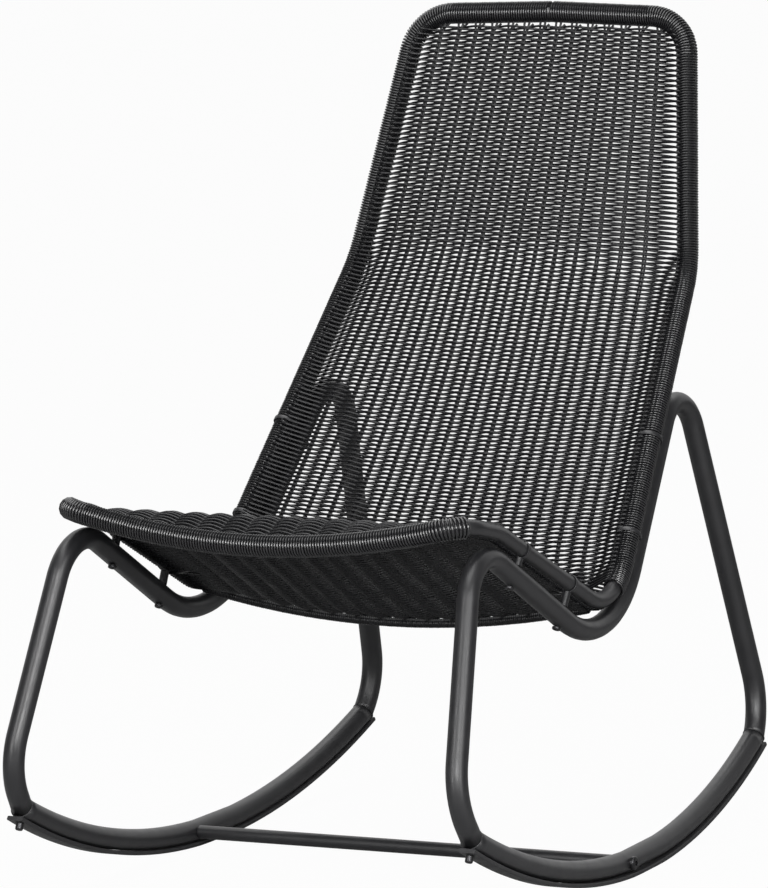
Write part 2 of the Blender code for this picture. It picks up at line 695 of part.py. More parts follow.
def line_of_seat_rail():
    """Two points of the frame's seat rail, below the shell's side tube by the clamps' gaps."""
    along = heading(-SEAT_SLOPE)
    square = np.array([-along[1], along[0]])
    points = []
    for place, gap in zip(SEAT_CLAMP_PLACES, (SEAT_GAP_FRONT, SEAT_GAP_REAR)):
        drop = SHELL_TUBE_RADIUS + gap + FRAME_TUBE_RADIUS
        points.append(LIP_CORNER + along * place - square * drop)
    return points


def frame_corners():
    """Corners of a side frame in the side view, with bend radii, from the front foot to the rear foot."""
    front_foot = on_rocker(FRONT_FOOT_ANGLE, ROCKER_TUBE_RADIUS)
    rear_foot = on_rocker(REAR_FOOT_ANGLE, ROCKER_TUBE_RADIUS)
    front_rise = 180 + math.degrees(FRONT_FOOT_ANGLE) - WELD_TURN
    rear_rise = math.degrees(REAR_FOOT_ANGLE) + WELD_TURN
    front_knee = front_foot + FRONT_KNEE_LENGTH * heading(front_rise)
    rear_knee = rear_foot + REAR_KNEE_LENGTH * heading(rear_rise)
    front_leg = heading(90 - FRONT_LEG_LEAN)
    rear_leg = heading(90 + REAR_LEG_LEAN)
    rail_front, rail_rear = line_of_seat_rail()
    rail = unit(rail_rear - rail_front)
    back = heading(90 - LOWER_BACK_RECLINE)
    behind = WRAP_RADIUS + BACK_GAP + FRAME_TUBE_RADIUS
    back_start = SEAT_BACK_CORNER + behind * np.array([back[1], -back[0]])
    return [
        (front_foot, 0),
        (front_knee, FRONT_KNEE_RADIUS),
        (crossing(front_knee, front_leg, rail_front, rail), FRONT_BEND_RADIUS),
        (crossing(rail_front, rail, back_start, back), SEAT_BEND_RADIUS),
        (crossing(back_start, back, rear_knee, rear_leg), PEAK_BEND_RADIUS),
        (rear_knee, REAR_KNEE_RADIUS),
        (rear_foot, 0),
    ]


def frame_path():
    corners = [(in_frame_plane(corner), radius) for corner, radius in frame_corners()]
    return rounded_path(corners, BEND_STEP)


def rocker_path():
    return np.array([in_frame_plane(on_rocker(angle, ROCKER_TUBE_RADIUS)) for angle in rocker_angles()])


FRAME_PATH = frame_path()
ROCKER_PATH = rocker_path()
FRONT_WELD = unit(unit(ROCKER_PATH[1] - ROCKER_PATH[0]) + unit(FRAME_PATH[0] - FRAME_PATH[1]))
REAR_WELD = unit(unit(ROCKER_PATH[-1] - ROCKER_PATH[-2]) + unit(FRAME_PATH[-2] - FRAME_PATH[-1]))


def shortened(path, amount):
    """The path with both of its ends drawn back."""
    shorter = path.copy()
    shorter[0] += unit(path[1] - path[0]) * amount
    shorter[-1] += unit(path[-2] - path[-1]) * amount
    return shorter


def build_frame(side):
    """A side frame and the rocker that is welded to its feet."""
    bore = FRAME_TUBE_RADIUS - FRAME_TUBE_WALL
    flip = SIDES[side]
    frame = shortened(FRAME_PATH, CLEARANCE / 2) * flip
    rocker = shortened(ROCKER_PATH, CLEARANCE / 2) * flip
    front = FRONT_WELD * flip
    rear = REAR_WELD * flip
    return (
        tube(f"{side}_side_frame", frame, FRAME_TUBE_RADIUS, bore, FRAME_SIDES, POWDER_COAT, -front, -rear),
        tube(f"{side}_rocker", rocker, FRAME_TUBE_RADIUS, bore, FRAME_SIDES, POWDER_COAT, front, rear),
    )


def sole_ring(angle, flip):
    """Four corners of the sole's section at one angle of the rocker."""
    centre = in_frame_plane(on_rocker(angle, ROCKER_TUBE_RADIUS)) * flip
    outward = np.array([0.0, *outward_from_rocker(angle)])
    across = np.array([SOLE_WIDTH / 2, 0.0, 0.0])
    top = centre + outward * (FRAME_TUBE_RADIUS + CLEARANCE)
    bottom = top + outward * SOLE_THICKNESS
    return [top - across, top + across, bottom + across, bottom - across]


def build_sole(side):
    """The strip under a rocker, with one level flat that the chair stands on."""
    overhang = SOLE_OVERHANG / ROCKER_RADIUS
    angles = [FRONT_FOOT_ANGLE - overhang, *rocker_angles(), REAR_FOOT_ANGLE + overhang]
    rings = [sole_ring(angle, SIDES[side]) for angle in angles]
    points = [point for ring in rings for point in ring]
    corners = len(rings[0])
    faces = [tuple(range(corners)), tuple(range(len(points) - corners, len(points)))]
    for below in range(0, len(points) - corners, corners):
        for corner in range(corners):
            beside = (corner + 1) % corners
            here = below + corner
            there = below + beside
            faces.append((here, there, there + corners, here + corners))
    return new_piece(f"{side}_rocker_sole", points, faces, SOLE_PLASTIC)


def fit_sole_screws(side, rocker, sole):
    """A screw near each end of a sole, up through the sole into the rocker's wall."""
    inset = SOLE_SCREW_INSET / ROCKER_RADIUS
    length = SOLE_THICKNESS + CLEARANCE * 2 + FRAME_TUBE_WALL + SOLE_SCREW_GRIP
    for end, angle, head_height in (
        ("front", FRONT_FOOT_ANGLE + inset, FRONT_SCREW_HEAD_HEIGHT),
        ("rear", REAR_FOOT_ANGLE - inset, REAR_SCREW_HEAD_HEIGHT),
    ):
        along, place, _ = closest_on(ROCKER_PATH, in_frame_plane(on_rocker(angle, ROCKER_TUBE_RADIUS)))
        run = tangent_at(ROCKER_PATH, along)
        inward = unit(np.array([0.0, -run[2], run[1]]))
        seat = place * SIDES[side] - inward * (FRAME_TUBE_RADIUS + SOLE_THICKNESS + CLEARANCE * 2)
        name = f"{side}_{end}_sole_screw"
        domed_bolt(name, seat, inward, SOLE_SCREW_DIAMETER, length, SOLE_SCREW_HEAD_DIAMETER,
                   head_height, BARE_STEEL)
        drill(sole, name + "_sole", seat - inward * CLEARANCE, inward,
              SOLE_THICKNESS + CLEARANCE * 3, SOLE_SCREW_DIAMETER)
        drill(rocker, name + "_rocker", seat, inward, length + CLEARANCE, SOLE_SCREW_DIAMETER)


def stretcher_end():
    """Centre of the right rocker tube where the stretcher meets it."""
    angle = math.asin(STRETCHER_Y / ROCKER_TUBE_RADIUS)
    return closest_on(ROCKER_PATH, in_frame_plane(on_rocker(angle, ROCKER_TUBE_RADIUS)))[1]


def build_stretcher(rockers):
    """The cross tube between the rockers, with a threaded insert and a bolt at each end."""
    centre = stretcher_end()
    along = np.array([1.0, 0.0, 0.0])
    reach = centre[0] - FRAME_TUBE_RADIUS - CLEARANCE
    level = np.array([0.0, centre[1], centre[2]])
    path = np.array([level - along * reach, level + along * reach])
    radius = STRETCHER_DIAMETER / 2
    bore = radius - STRETCHER_WALL
    tube("rocker_stretcher", path, radius, bore, FRAME_SIDES, POWDER_COAT)
    shank = 2 * FRAME_TUBE_RADIUS + CLEARANCE * 2 + STRETCHER_BOLT_GRIP
    thread = (STRETCHER_BOLT_DIAMETER / 2 + CLEARANCE) / math.cos(math.pi / SMALL_SIDES)
    insert = bore * math.cos(math.pi / FRAME_SIDES) - CLEARANCE
    for side, flip in SIDES.items():
        outward = along * flip
        seat = level + outward * (centre[0] + FRAME_TUBE_RADIUS + CLEARANCE)
        name = f"{side}_stretcher_bolt"
        domed_bolt(name, seat, -outward, STRETCHER_BOLT_DIAMETER, shank, STRETCHER_BOLT_HEAD_DIAMETER,
                   STRETCHER_BOLT_HEAD_HEIGHT, BLACK_BOLT)
        drill(rockers[side], name + "_hole", seat + outward * CLEARANCE, -outward,
              2 * FRAME_TUBE_RADIUS + CLEARANCE * 4, STRETCHER_BOLT_DIAMETER)
        outline = [(thread, 0.0), (insert, 0.0), (insert, INSERT_LENGTH), (thread, INSERT_LENGTH)]
        turned(f"{side}_stretcher_insert", outline, level + outward * reach, -outward, SMALL_SIDES,
               BARE_STEEL, closed=True)


def build_clamp(name, place, carried_radius, frame, flip):
    """A band round the shell's edge with a post to the frame, and the bolt that holds it there."""
    centre = point_at(EDGE, place)
    along = tangent_at(EDGE, place)
    foot = closest_on(FRAME_PATH, centre)[1]
    centre = centre * flip
    along = along * flip
    foot = foot * flip
    towards = unit(foot - centre)
    bore = (carried_radius + CLEARANCE) / math.cos(math.pi / SMALL_SIDES)
    outer = bore + CLAMP_BAND_THICKNESS
    half = CLAMP_BAND_WIDTH / 2
    outline = [(bore, -half), (outer, -half), (outer, half), (bore, half)]
    band = turned(name, outline, centre, along, SMALL_SIDES, POWDER_COAT, closed=True)
    post_start = carried_radius + CLEARANCE * 2
    post_length = np.linalg.norm(foot - centre) - FRAME_TUBE_RADIUS - CLEARANCE - post_start
    post_radius = CLAMP_POST_DIAMETER / 2
    post = turned(name + "_post", [(post_radius, 0.0), (post_radius, post_length)],
                  centre + towards * post_start, towards, SMALL_SIDES, POWDER_COAT)
    combine(band, post, "UNION")
    grip = post_length - CLAMP_POST_FLOOR
    seat = foot + towards * (FRAME_TUBE_RADIUS + CLEARANCE)
    shank = 2 * FRAME_TUBE_RADIUS + CLEARANCE * 2 + grip
    drill(band, name + "_thread", seat - towards * (shank + CLEARANCE), towards, grip + CLEARANCE * 3,
          CLAMP_BOLT_DIAMETER)
    drill(frame, name + "_hole", seat + towards * CLEARANCE, -towards,
          2 * FRAME_TUBE_RADIUS + CLEARANCE * 4, CLAMP_BOLT_DIAMETER)
    domed_bolt(name.replace("clamp", "clamp_bolt"), seat, -towards, CLAMP_BOLT_DIAMETER, shank,
               CLAMP_BOLT_HEAD_DIAMETER, CLAMP_BOLT_HEAD_HEIGHT, BLACK_BOLT)


def build_clamps(side, frame):
    """Two clamps under the seat's side tube and two behind the back edge."""
    flip = SIDES[side]
    lip = closest_on(EDGE, SIDE_CORNERS[1][0])[0]
    for order, place in enumerate(SEAT_CLAMP_PLACES):
        build_clamp(f"{side}_seat_clamp_{order + 1}", lip + place, SHELL_TUBE_RADIUS, frame, flip)
    for order, place in enumerate(BACK_CLAMP_PLACES):
        point = SEAT_BACK_CORNER + place * heading(90 - LOWER_BACK_RECLINE)
        share = place / LOWER_BACK_LENGTH
        half_width = SEAT_BACK_HALF_WIDTH + (SHOULDER_HALF_WIDTH - SEAT_BACK_HALF_WIDTH) * share
        along = closest_on(EDGE, at_side(half_width, point))[0]
        build_clamp(f"{side}_back_clamp_{order + 1}", along, WRAP_RADIUS, frame, flip)


def stand_on_origin():
    """Sets the chair on the floor, with the middle of its depth over the origin."""
    depths = [vertex.co.y for piece in bpy.data.objects if piece.type == "MESH" and not piece.hide_render
              for vertex in piece.data.vertices]
    origin.location = (0.0, -(min(depths) + max(depths)) / 2, 0.0)


build_shell_tube()
build_edge_wraps()
build_ribs()
build_woven_sheets()
build_cross_rod()
rocker_of_side = {}
for side_name in SIDES:
    side_frame, rocker_of_side[side_name] = build_frame(side_name)
    side_sole = build_sole(side_name)
    fit_sole_screws(side_name, rocker_of_side[side_name], side_sole)
    build_clamps(side_name, side_frame)
build_stretcher(rocker_of_side)
stand_on_origin()
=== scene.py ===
# %% [markdown]
# A woven rocking chair
#
# The real chair is a shell of black wicker in a bent tube. Two side frames of bent steel tube carry the
# shell, and each stands on a curved rocker with a sole under it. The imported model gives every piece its
# place and size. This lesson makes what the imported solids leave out: smooth bends, real strands, bolt
# heads with key sockets, finishes and light.

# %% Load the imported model
import json
import math

import bmesh
import bpy
import numpy as np
from mathutils import Matrix, Vector


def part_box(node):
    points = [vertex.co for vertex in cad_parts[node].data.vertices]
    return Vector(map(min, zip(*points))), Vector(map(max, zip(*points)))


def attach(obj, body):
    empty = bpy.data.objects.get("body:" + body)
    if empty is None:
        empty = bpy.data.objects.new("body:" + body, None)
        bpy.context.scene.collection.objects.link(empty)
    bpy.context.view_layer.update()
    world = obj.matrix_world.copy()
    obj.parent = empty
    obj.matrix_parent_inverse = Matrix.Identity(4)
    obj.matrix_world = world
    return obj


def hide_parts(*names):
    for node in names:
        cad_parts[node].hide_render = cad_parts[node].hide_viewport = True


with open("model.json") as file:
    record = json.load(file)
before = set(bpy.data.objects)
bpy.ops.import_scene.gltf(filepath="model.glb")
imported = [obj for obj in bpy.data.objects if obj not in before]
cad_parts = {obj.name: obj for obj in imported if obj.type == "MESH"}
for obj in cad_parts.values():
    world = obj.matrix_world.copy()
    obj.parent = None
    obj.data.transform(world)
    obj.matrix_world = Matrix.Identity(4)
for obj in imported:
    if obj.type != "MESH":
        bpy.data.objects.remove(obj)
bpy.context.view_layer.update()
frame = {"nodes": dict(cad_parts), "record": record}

# %% [markdown]
# Camera
#
# A photograph of furniture is often taken from far away with a long lens, so that tubes stay parallel.
# The camera is set by what a photographer would say: where it looks, from which side, how high, how far
# off and how the horizon tilts. Those turns multiply into one matrix.

# %% Place the camera
CAMERA_TARGET = (-0.02928, 0.01374, 0.48202)
CAMERA_DISTANCE = 8.8
CAMERA_SIDE = math.radians(28.2889)
CAMERA_RISE = math.radians(9.1834)
CAMERA_TILT = math.radians(-2.3755)
CAMERA_LENS = 308.86

bpy.ops.object.select_all(action="DESELECT")
bpy.ops.object.camera_add()
camera = bpy.context.object
camera.data.lens = CAMERA_LENS
camera.matrix_world = (
    Matrix.Translation(CAMERA_TARGET)
    @ Matrix.Rotation(CAMERA_SIDE, 4, "Z")
    @ Matrix.Rotation(math.pi / 2 - CAMERA_RISE, 4, "X")
    @ Matrix.Rotation(CAMERA_TILT, 4, "Z")
    @ Matrix.Translation((0, 0, CAMERA_DISTANCE))
)
bpy.context.scene.camera = camera
print("camera at", tuple(camera.matrix_world.translation))

# %% [markdown]
# Finishes
#
# All of the chair is black, but not the same black. The steel has a powder coat with a fine orange peel.
# The wicker is extruded plastic with faint streaks. The wound edges get a lighter and glossier copy of it,
# so that they show brighter: the extra gloss reflects the lamps, and the lighter colour is painted sheen.
# Two effects are shared, so each is a node group: one mottles a colour and a roughness, and one gives a
# fine grain to the normal.

# %% Shared effects
PATCH_DETAIL = 4.0
PATCH_RANGE = (0.3, 0.7)
GRAIN_DETAIL = 2.0


def set_inputs(node, values):
    """Sets a node's sockets by their names."""
    for title, value in values.items():
        node.inputs[title].default_value = value


def wire(tree, *wires):
    """Joins sockets, each wire given as (node, output, node, input)."""
    for source, output, target, entry in wires:
        tree.links.new(source.outputs[output], target.inputs[entry])


def new_effect(name, inputs, outputs):
    """An empty node group with named sockets; returns its tree and its two end nodes."""
    tree = bpy.data.node_groups.new(name, "ShaderNodeTree")
    for title, kind in inputs:
        tree.interface.new_socket(title, in_out="INPUT", socket_type=kind)
    for title, kind in outputs:
        tree.interface.new_socket(title, in_out="OUTPUT", socket_type=kind)
    return tree, tree.nodes.new("NodeGroupInput"), tree.nodes.new("NodeGroupOutput")


def mottled_effect():
    """Light and dark patches in a colour, and the same patches as a roughness."""
    tree, given, result = new_effect(
        "mottled",
        (("Dark", "NodeSocketColor"), ("Light", "NodeSocketColor"), ("Scale", "NodeSocketFloat"),
         ("Smooth", "NodeSocketFloat"), ("Rough", "NodeSocketFloat")),
        (("Colour", "NodeSocketColor"), ("Roughness", "NodeSocketFloat")),
    )
    place = tree.nodes.new("ShaderNodeTexCoord")
    noise = tree.nodes.new("ShaderNodeTexNoise")
    colour = tree.nodes.new("ShaderNodeMix")
    colour.data_type = "RGBA"
    spread = tree.nodes.new("ShaderNodeMapRange")
    set_inputs(noise, {"Detail": PATCH_DETAIL})
    set_inputs(spread, {"From Min": PATCH_RANGE[0], "From Max": PATCH_RANGE[1]})
    wire(tree, (place, "Object", noise, "Vector"), (given, "Scale", noise, "Scale"),
         (noise, "Fac", colour, "Factor"), (given, "Dark", colour, "A"), (given, "Light", colour, "B"),
         (noise, "Fac", spread, "Value"), (given, "Smooth", spread, "To Min"),
         (given, "Rough", spread, "To Max"), (colour, "Result", result, "Colour"),
         (spread, "Result", result, "Roughness"))
    return tree


def grain_effect():
    """A fine pebbled grain, as a normal."""
    tree, given, result = new_effect(
        "grain",
        (("Scale", "NodeSocketFloat"), ("Strength", "NodeSocketFloat"), ("Depth", "NodeSocketFloat")),
        (("Normal", "NodeSocketVector"),),
    )
    place = tree.nodes.new("ShaderNodeTexCoord")
    noise = tree.nodes.new("ShaderNodeTexNoise")
    bump = tree.nodes.new("ShaderNodeBump")
    set_inputs(noise, {"Detail": GRAIN_DETAIL})
    wire(tree, (place, "Object", noise, "Vector"), (given, "Scale", noise, "Scale"),
         (noise, "Fac", bump, "Height"), (given, "Strength", bump, "Strength"),
         (given, "Depth", bump, "Distance"), (bump, "Normal", result, "Normal"))
    return tree


MOTTLED = mottled_effect()
GRAIN = grain_effect()
print("effects:", MOTTLED.name, GRAIN.name)

# %% Finishes of the chair
GRAIN_DEPTH = 0.0002


def new_finish(name, dark, light, patches, smooth, rough, grain, strength, metallic, specular):
    """A surface finish whose colour, roughness and grain change over the piece."""
    finish = bpy.data.materials.new(name)
    finish.use_nodes = True
    tree = finish.node_tree
    shader = tree.nodes["Principled BSDF"]
    mottled = tree.nodes.new("ShaderNodeGroup")
    mottled.node_tree = MOTTLED
    pebbles = tree.nodes.new("ShaderNodeGroup")
    pebbles.node_tree = GRAIN
    set_inputs(shader, {"Metallic": metallic, "Specular IOR Level": specular})
    set_inputs(mottled, {"Dark": (*dark, 1), "Light": (*light, 1), "Scale": patches,
                         "Smooth": smooth, "Rough": rough})
    set_inputs(pebbles, {"Scale": grain, "Strength": strength, "Depth": GRAIN_DEPTH})
    wire(tree, (mottled, "Colour", shader, "Base Color"), (mottled, "Roughness", shader, "Roughness"),
         (pebbles, "Normal", shader, "Normal"))
    return finish


POWDER_COAT = new_finish(
    "black powder coat", dark=(0.010, 0.010, 0.011), light=(0.016, 0.016, 0.018), patches=60,
    smooth=0.36, rough=0.44, grain=1500, strength=0.06, metallic=0.0, specular=0.7)
WICKER = new_finish(
    "black wicker", dark=(0.004, 0.004, 0.005), light=(0.010, 0.010, 0.011), patches=140,
    smooth=0.22, rough=0.34, grain=900, strength=0.15, metallic=0.0, specular=0.36)
# A lighter, glossier copy of the wicker for the wound edges: its lighter colour is painted sheen.
WOUND_WICKER_PAINTED_SHEEN = new_finish(
    "black wicker, wound tight", dark=(0.006, 0.006, 0.007), light=(0.012, 0.012, 0.013), patches=140,
    smooth=0.16, rough=0.26, grain=900, strength=0.10, metallic=0.0, specular=0.80)
SOLE_PLASTIC = new_finish(
    "black sole plastic", dark=(0.020, 0.020, 0.021), light=(0.032, 0.032, 0.034), patches=90,
    smooth=0.45, rough=0.60, grain=1200, strength=0.15, metallic=0.0, specular=0.4)
BLACK_BOLT = new_finish(
    "blackened bolt", dark=(0.030, 0.030, 0.032), light=(0.060, 0.060, 0.063), patches=300,
    smooth=0.28, rough=0.42, grain=2500, strength=0.10, metallic=0.8, specular=0.5)
BARE_STEEL = new_finish(
    "bare steel", dark=(0.36, 0.36, 0.37), light=(0.50, 0.50, 0.51), patches=400,
    smooth=0.28, rough=0.45, grain=2500, strength=0.12, metallic=1.0, specular=0.5)
FINISHES = {"black_powder_coat": POWDER_COAT, "black_wicker": WICKER, "black_sole": SOLE_PLASTIC,
            "black_bolt": BLACK_BOLT, "bare_steel": BARE_STEEL}
print("finishes:", ", ".join(FINISHES))

# %% [markdown]
# Centre lines
#
# Each tube follows a few corners joined by straight runs, with an arc of one bend radius at each corner,
# as a tube bender makes it. The corners are written in the side view, in metres from under the middle of
# the rockers, and the record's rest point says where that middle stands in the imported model.


# %% Paths with rounded corners
def unit(vector):
    """The same direction with length 1."""
    return vector / np.linalg.norm(vector)


def heading(degrees):
    """Unit vector in the side view (Y, Z), turned up from +Y."""
    angle = math.radians(degrees)
    return np.array([math.cos(angle), math.sin(angle)])


def crossing(start_a, along_a, start_b, along_b):
    """Point where two lines of the side view cross."""
    steps = np.linalg.solve(np.column_stack([along_a, -along_b]), start_b - start_a)
    return start_a + along_a * steps[0]


BEND_STEP = math.radians(3.0)


def rounded_path(corners):
    """Points along straight runs through (point, bend radius) corners, with an arc at each corner."""
    points = [np.array(corners[0][0], float)]
    for before, (corner, radius), after in zip(corners, corners[1:], corners[2:]):
        inward = unit(corner - before[0])
        outward = unit(after[0] - corner)
        turn = math.acos(np.clip(inward @ outward, -1, 1))
        if radius == 0 or turn < BEND_STEP / 2:
            points.append(np.array(corner, float))
            continue
        start = corner - inward * radius * math.tan(turn / 2)
        centre = corner + unit(outward - inward) * radius / math.cos(turn / 2)
        for angle in np.linspace(0, turn, math.ceil(turn / BEND_STEP) + 1):
            across = (start - centre) * math.cos(angle)
            points.append(centre + across + inward * radius * math.sin(angle))
    points.append(np.array(corners[-1][0], float))
    return np.array(points)


print("bends are drawn in steps of", round(math.degrees(BEND_STEP)), "degrees")


# %% Measures along a path
def lengths_along(path):
    """Distance of each point of a path from its start."""
    return np.concatenate([[0.0], np.cumsum(np.linalg.norm(np.diff(path, axis=0), axis=1))])


def points_at(path, lengths):
    """Points at distances along a path."""
    known = lengths_along(path)
    return np.column_stack([np.interp(lengths, known, column) for column in path.T])


def evenly(path, spacing):
    """The same path with points a steady distance apart."""
    whole = lengths_along(path)[-1]
    return points_at(path, np.linspace(0, whole, math.ceil(whole / spacing) + 1))


def closest_on(path, point):
    """(distance along, closest point) of the place on a path nearest to a point."""
    starts = path[:-1]
    runs = np.diff(path, axis=0)
    share = np.clip(((point - starts) * runs).sum(1) / (runs * runs).sum(1), 0, 1)
    feet = starts + runs * share[:, None]
    best = int(np.argmin(np.linalg.norm(feet - point, axis=1)))
    along = lengths_along(path)[best] + share[best] * np.linalg.norm(runs[best])
    return along, feet[best]


mounts = {mount["name"]: mount for mount in frame["record"]["mounts"]}
print("rest points:", ", ".join(mounts))

# %% [markdown]
# Outline of the shell
#
# The shell's tube runs from the front corner along the seat, round the rear bend and up the back, which
# bends once more at the shoulder. Both sides are alike, so one side outline is enough. The woven panel
# hangs between the sides. Its front edge hangs low, the seat is level with its sides a little behind it
# and sinks towards the hem, and the back swells forward at the shoulder, where its tight ribs cut across
# the bend of the tubes. A place on it is a distance along the side outline, a share across from -1 to 1,
# and a height towards the sitter.

# %% Side outline of the shell
ROCKER_MIDDLE = mounts["right_rocker_rest"]["pos_m"][1]
LIP_SLOPE = 15.4
LIP_LENGTH = 0.080
SEAT_SLOPE = 27.8
SEAT_LENGTH = 0.302
LOWER_BACK_RECLINE = 42.2
LOWER_BACK_LENGTH = 0.4747
UPPER_BACK_RECLINE = 20.27
UPPER_BACK_LENGTH = 0.302
TOP_BOW = 0.005
FRONT_HALF_WIDTH = 0.2575
SEAT_BACK_HALF_WIDTH = 0.262
SHOULDER_HALF_WIDTH = 0.2187
TOP_HALF_WIDTH = 0.178
FRONT_BEND = 0.035
LIP_BEND = 0.100
REAR_BEND = 0.085
SHOULDER_BEND = 0.127
TOP_BEND = 0.053
EDGE_SPACING = 0.002
CROSS_ROD_SHARE = 0.25
WRAP_START_SHARE = 0.15

FRONT_CORNER = np.array([-0.361, 0.4606])
LIP_CORNER = FRONT_CORNER + LIP_LENGTH * heading(-LIP_SLOPE)
SEAT_BACK_CORNER = LIP_CORNER + SEAT_LENGTH * heading(-SEAT_SLOPE)
SHOULDER_CORNER = SEAT_BACK_CORNER + LOWER_BACK_LENGTH * heading(90 - LOWER_BACK_RECLINE)
TOP_CORNER = SHOULDER_CORNER + UPPER_BACK_LENGTH * heading(90 - UPPER_BACK_RECLINE)
LIP_SHARE = LIP_LENGTH / (LIP_LENGTH + SEAT_LENGTH)
LIP_HALF_WIDTH = FRONT_HALF_WIDTH + (SEAT_BACK_HALF_WIDTH - FRONT_HALF_WIDTH) * LIP_SHARE


def at_side(half_width, corner):
    """A corner of the side view, as a point on the right side of the chair."""
    return np.array([half_width, corner[0] + ROCKER_MIDDLE, corner[1]])


SIDE_CORNERS = [
    (at_side(FRONT_HALF_WIDTH, FRONT_CORNER), FRONT_BEND),
    (at_side(LIP_HALF_WIDTH, LIP_CORNER), LIP_BEND),
    (at_side(SEAT_BACK_HALF_WIDTH, SEAT_BACK_CORNER), REAR_BEND),
    (at_side(SHOULDER_HALF_WIDTH, SHOULDER_CORNER), SHOULDER_BEND),
    (at_side(TOP_HALF_WIDTH, TOP_CORNER), TOP_BEND),
]
EDGE = evenly(rounded_path(SIDE_CORNERS), EDGE_SPACING)
EDGE_LENGTHS = lengths_along(EDGE)
EDGE_LENGTH = EDGE_LENGTHS[-1]
LIP_PLACE, SEAT_BACK_PLACE, SHOULDER_PLACE = [
    closest_on(EDGE, corner)[0] for corner, bend in SIDE_CORNERS[1:4]]
REAR_BEND_LENGTH = REAR_BEND * math.radians(SEAT_SLOPE + 90 - LOWER_BACK_RECLINE)
CROSS_ROD_PLACE = SEAT_BACK_PLACE - CROSS_ROD_SHARE * REAR_BEND_LENGTH
WRAP_START_PLACE = SEAT_BACK_PLACE + WRAP_START_SHARE * REAR_BEND_LENGTH
print("side outline:", round(EDGE_LENGTH, 3), "m long")

# %% Points of the woven panel
FRONT_HOLLOW = 0.034
CREST_PLACE = 0.055
HEM_HOLLOW = 0.030
LOWER_BACK_HOLLOW = -0.010
SHOULDER_HOLLOW = -0.039
HEM_EASE = 0.130
SHOULDER_EASE = 0.030
FADE_DOWN = 3.3
FADE_UP = 1.1

edge_runs = np.gradient(EDGE[:, 1:], EDGE_LENGTHS, axis=0)
edge_runs /= np.linalg.norm(edge_runs, axis=1)[:, None]
EDGE_NORMALS = np.column_stack([-edge_runs[:, 1], edge_runs[:, 0]])


def falling(share):
    """A smooth fall from 1 to 0 as the share goes from 0 to 1."""
    return (1 + np.cos(math.pi * np.clip(share, 0, 1))) / 2


def near_shoulder(places, far):
    """1 at the shoulder, falling to 0 at the far place, rounded off where it peaks."""
    away = np.hypot(places - SHOULDER_PLACE, SHOULDER_EASE) - SHOULDER_EASE
    reach = math.hypot(far - SHOULDER_PLACE, SHOULDER_EASE) - SHOULDER_EASE
    return np.clip(1 - away / reach, 0, 1)


def hollow_at(places):
    """How far the middle of the panel lies behind its edges."""
    seat = FRONT_HOLLOW * falling(places / CREST_PLACE)
    seat += HEM_HOLLOW * np.clip((places - CREST_PLACE) / (CROSS_ROD_PLACE - CREST_PLACE), 0, None)
    peak = near_shoulder(places, CROSS_ROD_PLACE) ** FADE_DOWN
    lower = LOWER_BACK_HOLLOW + (SHOULDER_HOLLOW - LOWER_BACK_HOLLOW) * peak
    lower += (HEM_HOLLOW - lower) * falling((places - CROSS_ROD_PLACE) / HEM_EASE)
    upper = SHOULDER_HOLLOW * near_shoulder(places, EDGE_LENGTH) ** FADE_UP
    return np.where(places < CROSS_ROD_PLACE, seat, np.where(places < SHOULDER_PLACE, lower, upper))


def half_width_at(places):
    """Half of the shell's width at distances along the side outline."""
    return np.interp(places, EDGE_LENGTHS, EDGE[:, 0])


def panel_points(places, shares, lifts):
    """Points of the panel at distances along, shares across and heights towards the sitter."""
    places, shares, lifts = np.broadcast_arrays(places, shares, lifts)
    rise = lifts - hollow_at(places) * (1 - shares ** 2)
    across = shares * half_width_at(places)
    depth, height, lean, climb = [np.interp(places, EDGE_LENGTHS, column)
                                  for column in (*EDGE[:, 1:].T, *EDGE_NORMALS.T)]
    return np.column_stack([across, depth + lean * rise, height + climb * rise])


middle = panel_points(np.array([SEAT_BACK_PLACE, SHOULDER_PLACE]), 0.0, 0.0)
print("panel middle at the seat's rear and at the shoulder:", middle.round(3).tolist())

# %% Centre line of the shell's tube
MIRROR = np.array([-1.0, 1.0, 1.0])
FRONT_SHARES = np.linspace(0.875, -0.875, 15)
TUBE_SPACING = 0.003


def shell_path():
    """From the middle of the top, down the right side, along the front and up the left side."""
    top_middle = at_side(0.0, TOP_CORNER + TOP_BOW * heading(90 - UPPER_BACK_RECLINE))
    right = [(top_middle, 0)] + SIDE_CORNERS[::-1]
    front = [(point, 0) for point in panel_points(0.0, FRONT_SHARES, 0.0)]
    left = [(corner * MIRROR, radius) for corner, radius in right[::-1]]
    return evenly(rounded_path(right + front + left), TUBE_SPACING)


SHELL_PATH = shell_path()
SHELL_LENGTH = lengths_along(SHELL_PATH)[-1]
print("shell tube:", round(SHELL_LENGTH, 3), "m of tube")

# %% [markdown]
# Centre lines of the side frames
#
# A side frame is one tube: front foot, front leg, seat rail, back rail, rear leg, rear foot. It lies in a
# plane that leans with the shell, and the rocker under it is an arc with a short level stretch to stand
# on.

# %% Sizes of the side frames
FRAME_RADIUS = 0.0125
ROCKER_RADIUS = 0.922
SOLE_THICKNESS = 0.005
SOLE_FLAT = 0.090
GAP = 0.0003
SHELL_TUBE_RADIUS = 0.0095
WRAP_RADIUS = 0.0131
FRAME_SPLAY = 0.0886
FRAME_TOE = 0.0348
SEAT_CLAMPS = (0.062, 0.187)
SEAT_CLAMP_GAPS = (0.010, 0.018)
BACK_CLAMPS = (0.107, 0.238)
BACK_CLAMP_GAP = 0.0055
FRAME_INSET = 0.0055
FRONT_FOOT_REACH = 0.427
REAR_FOOT_REACH = 0.346
FRONT_FOOT_RUN = 0.0588
REAR_FOOT_RUN = 0.0444
FRONT_LEG_LEAN = 23.9
REAR_LEG_LEAN = 15.4
KNEE_BEND = 0.080
FRONT_LEG_BEND = 0.0585
RAIL_BEND = 0.150
REAR_LEG_BEND = 0.047
WELD_TURN = 32.0

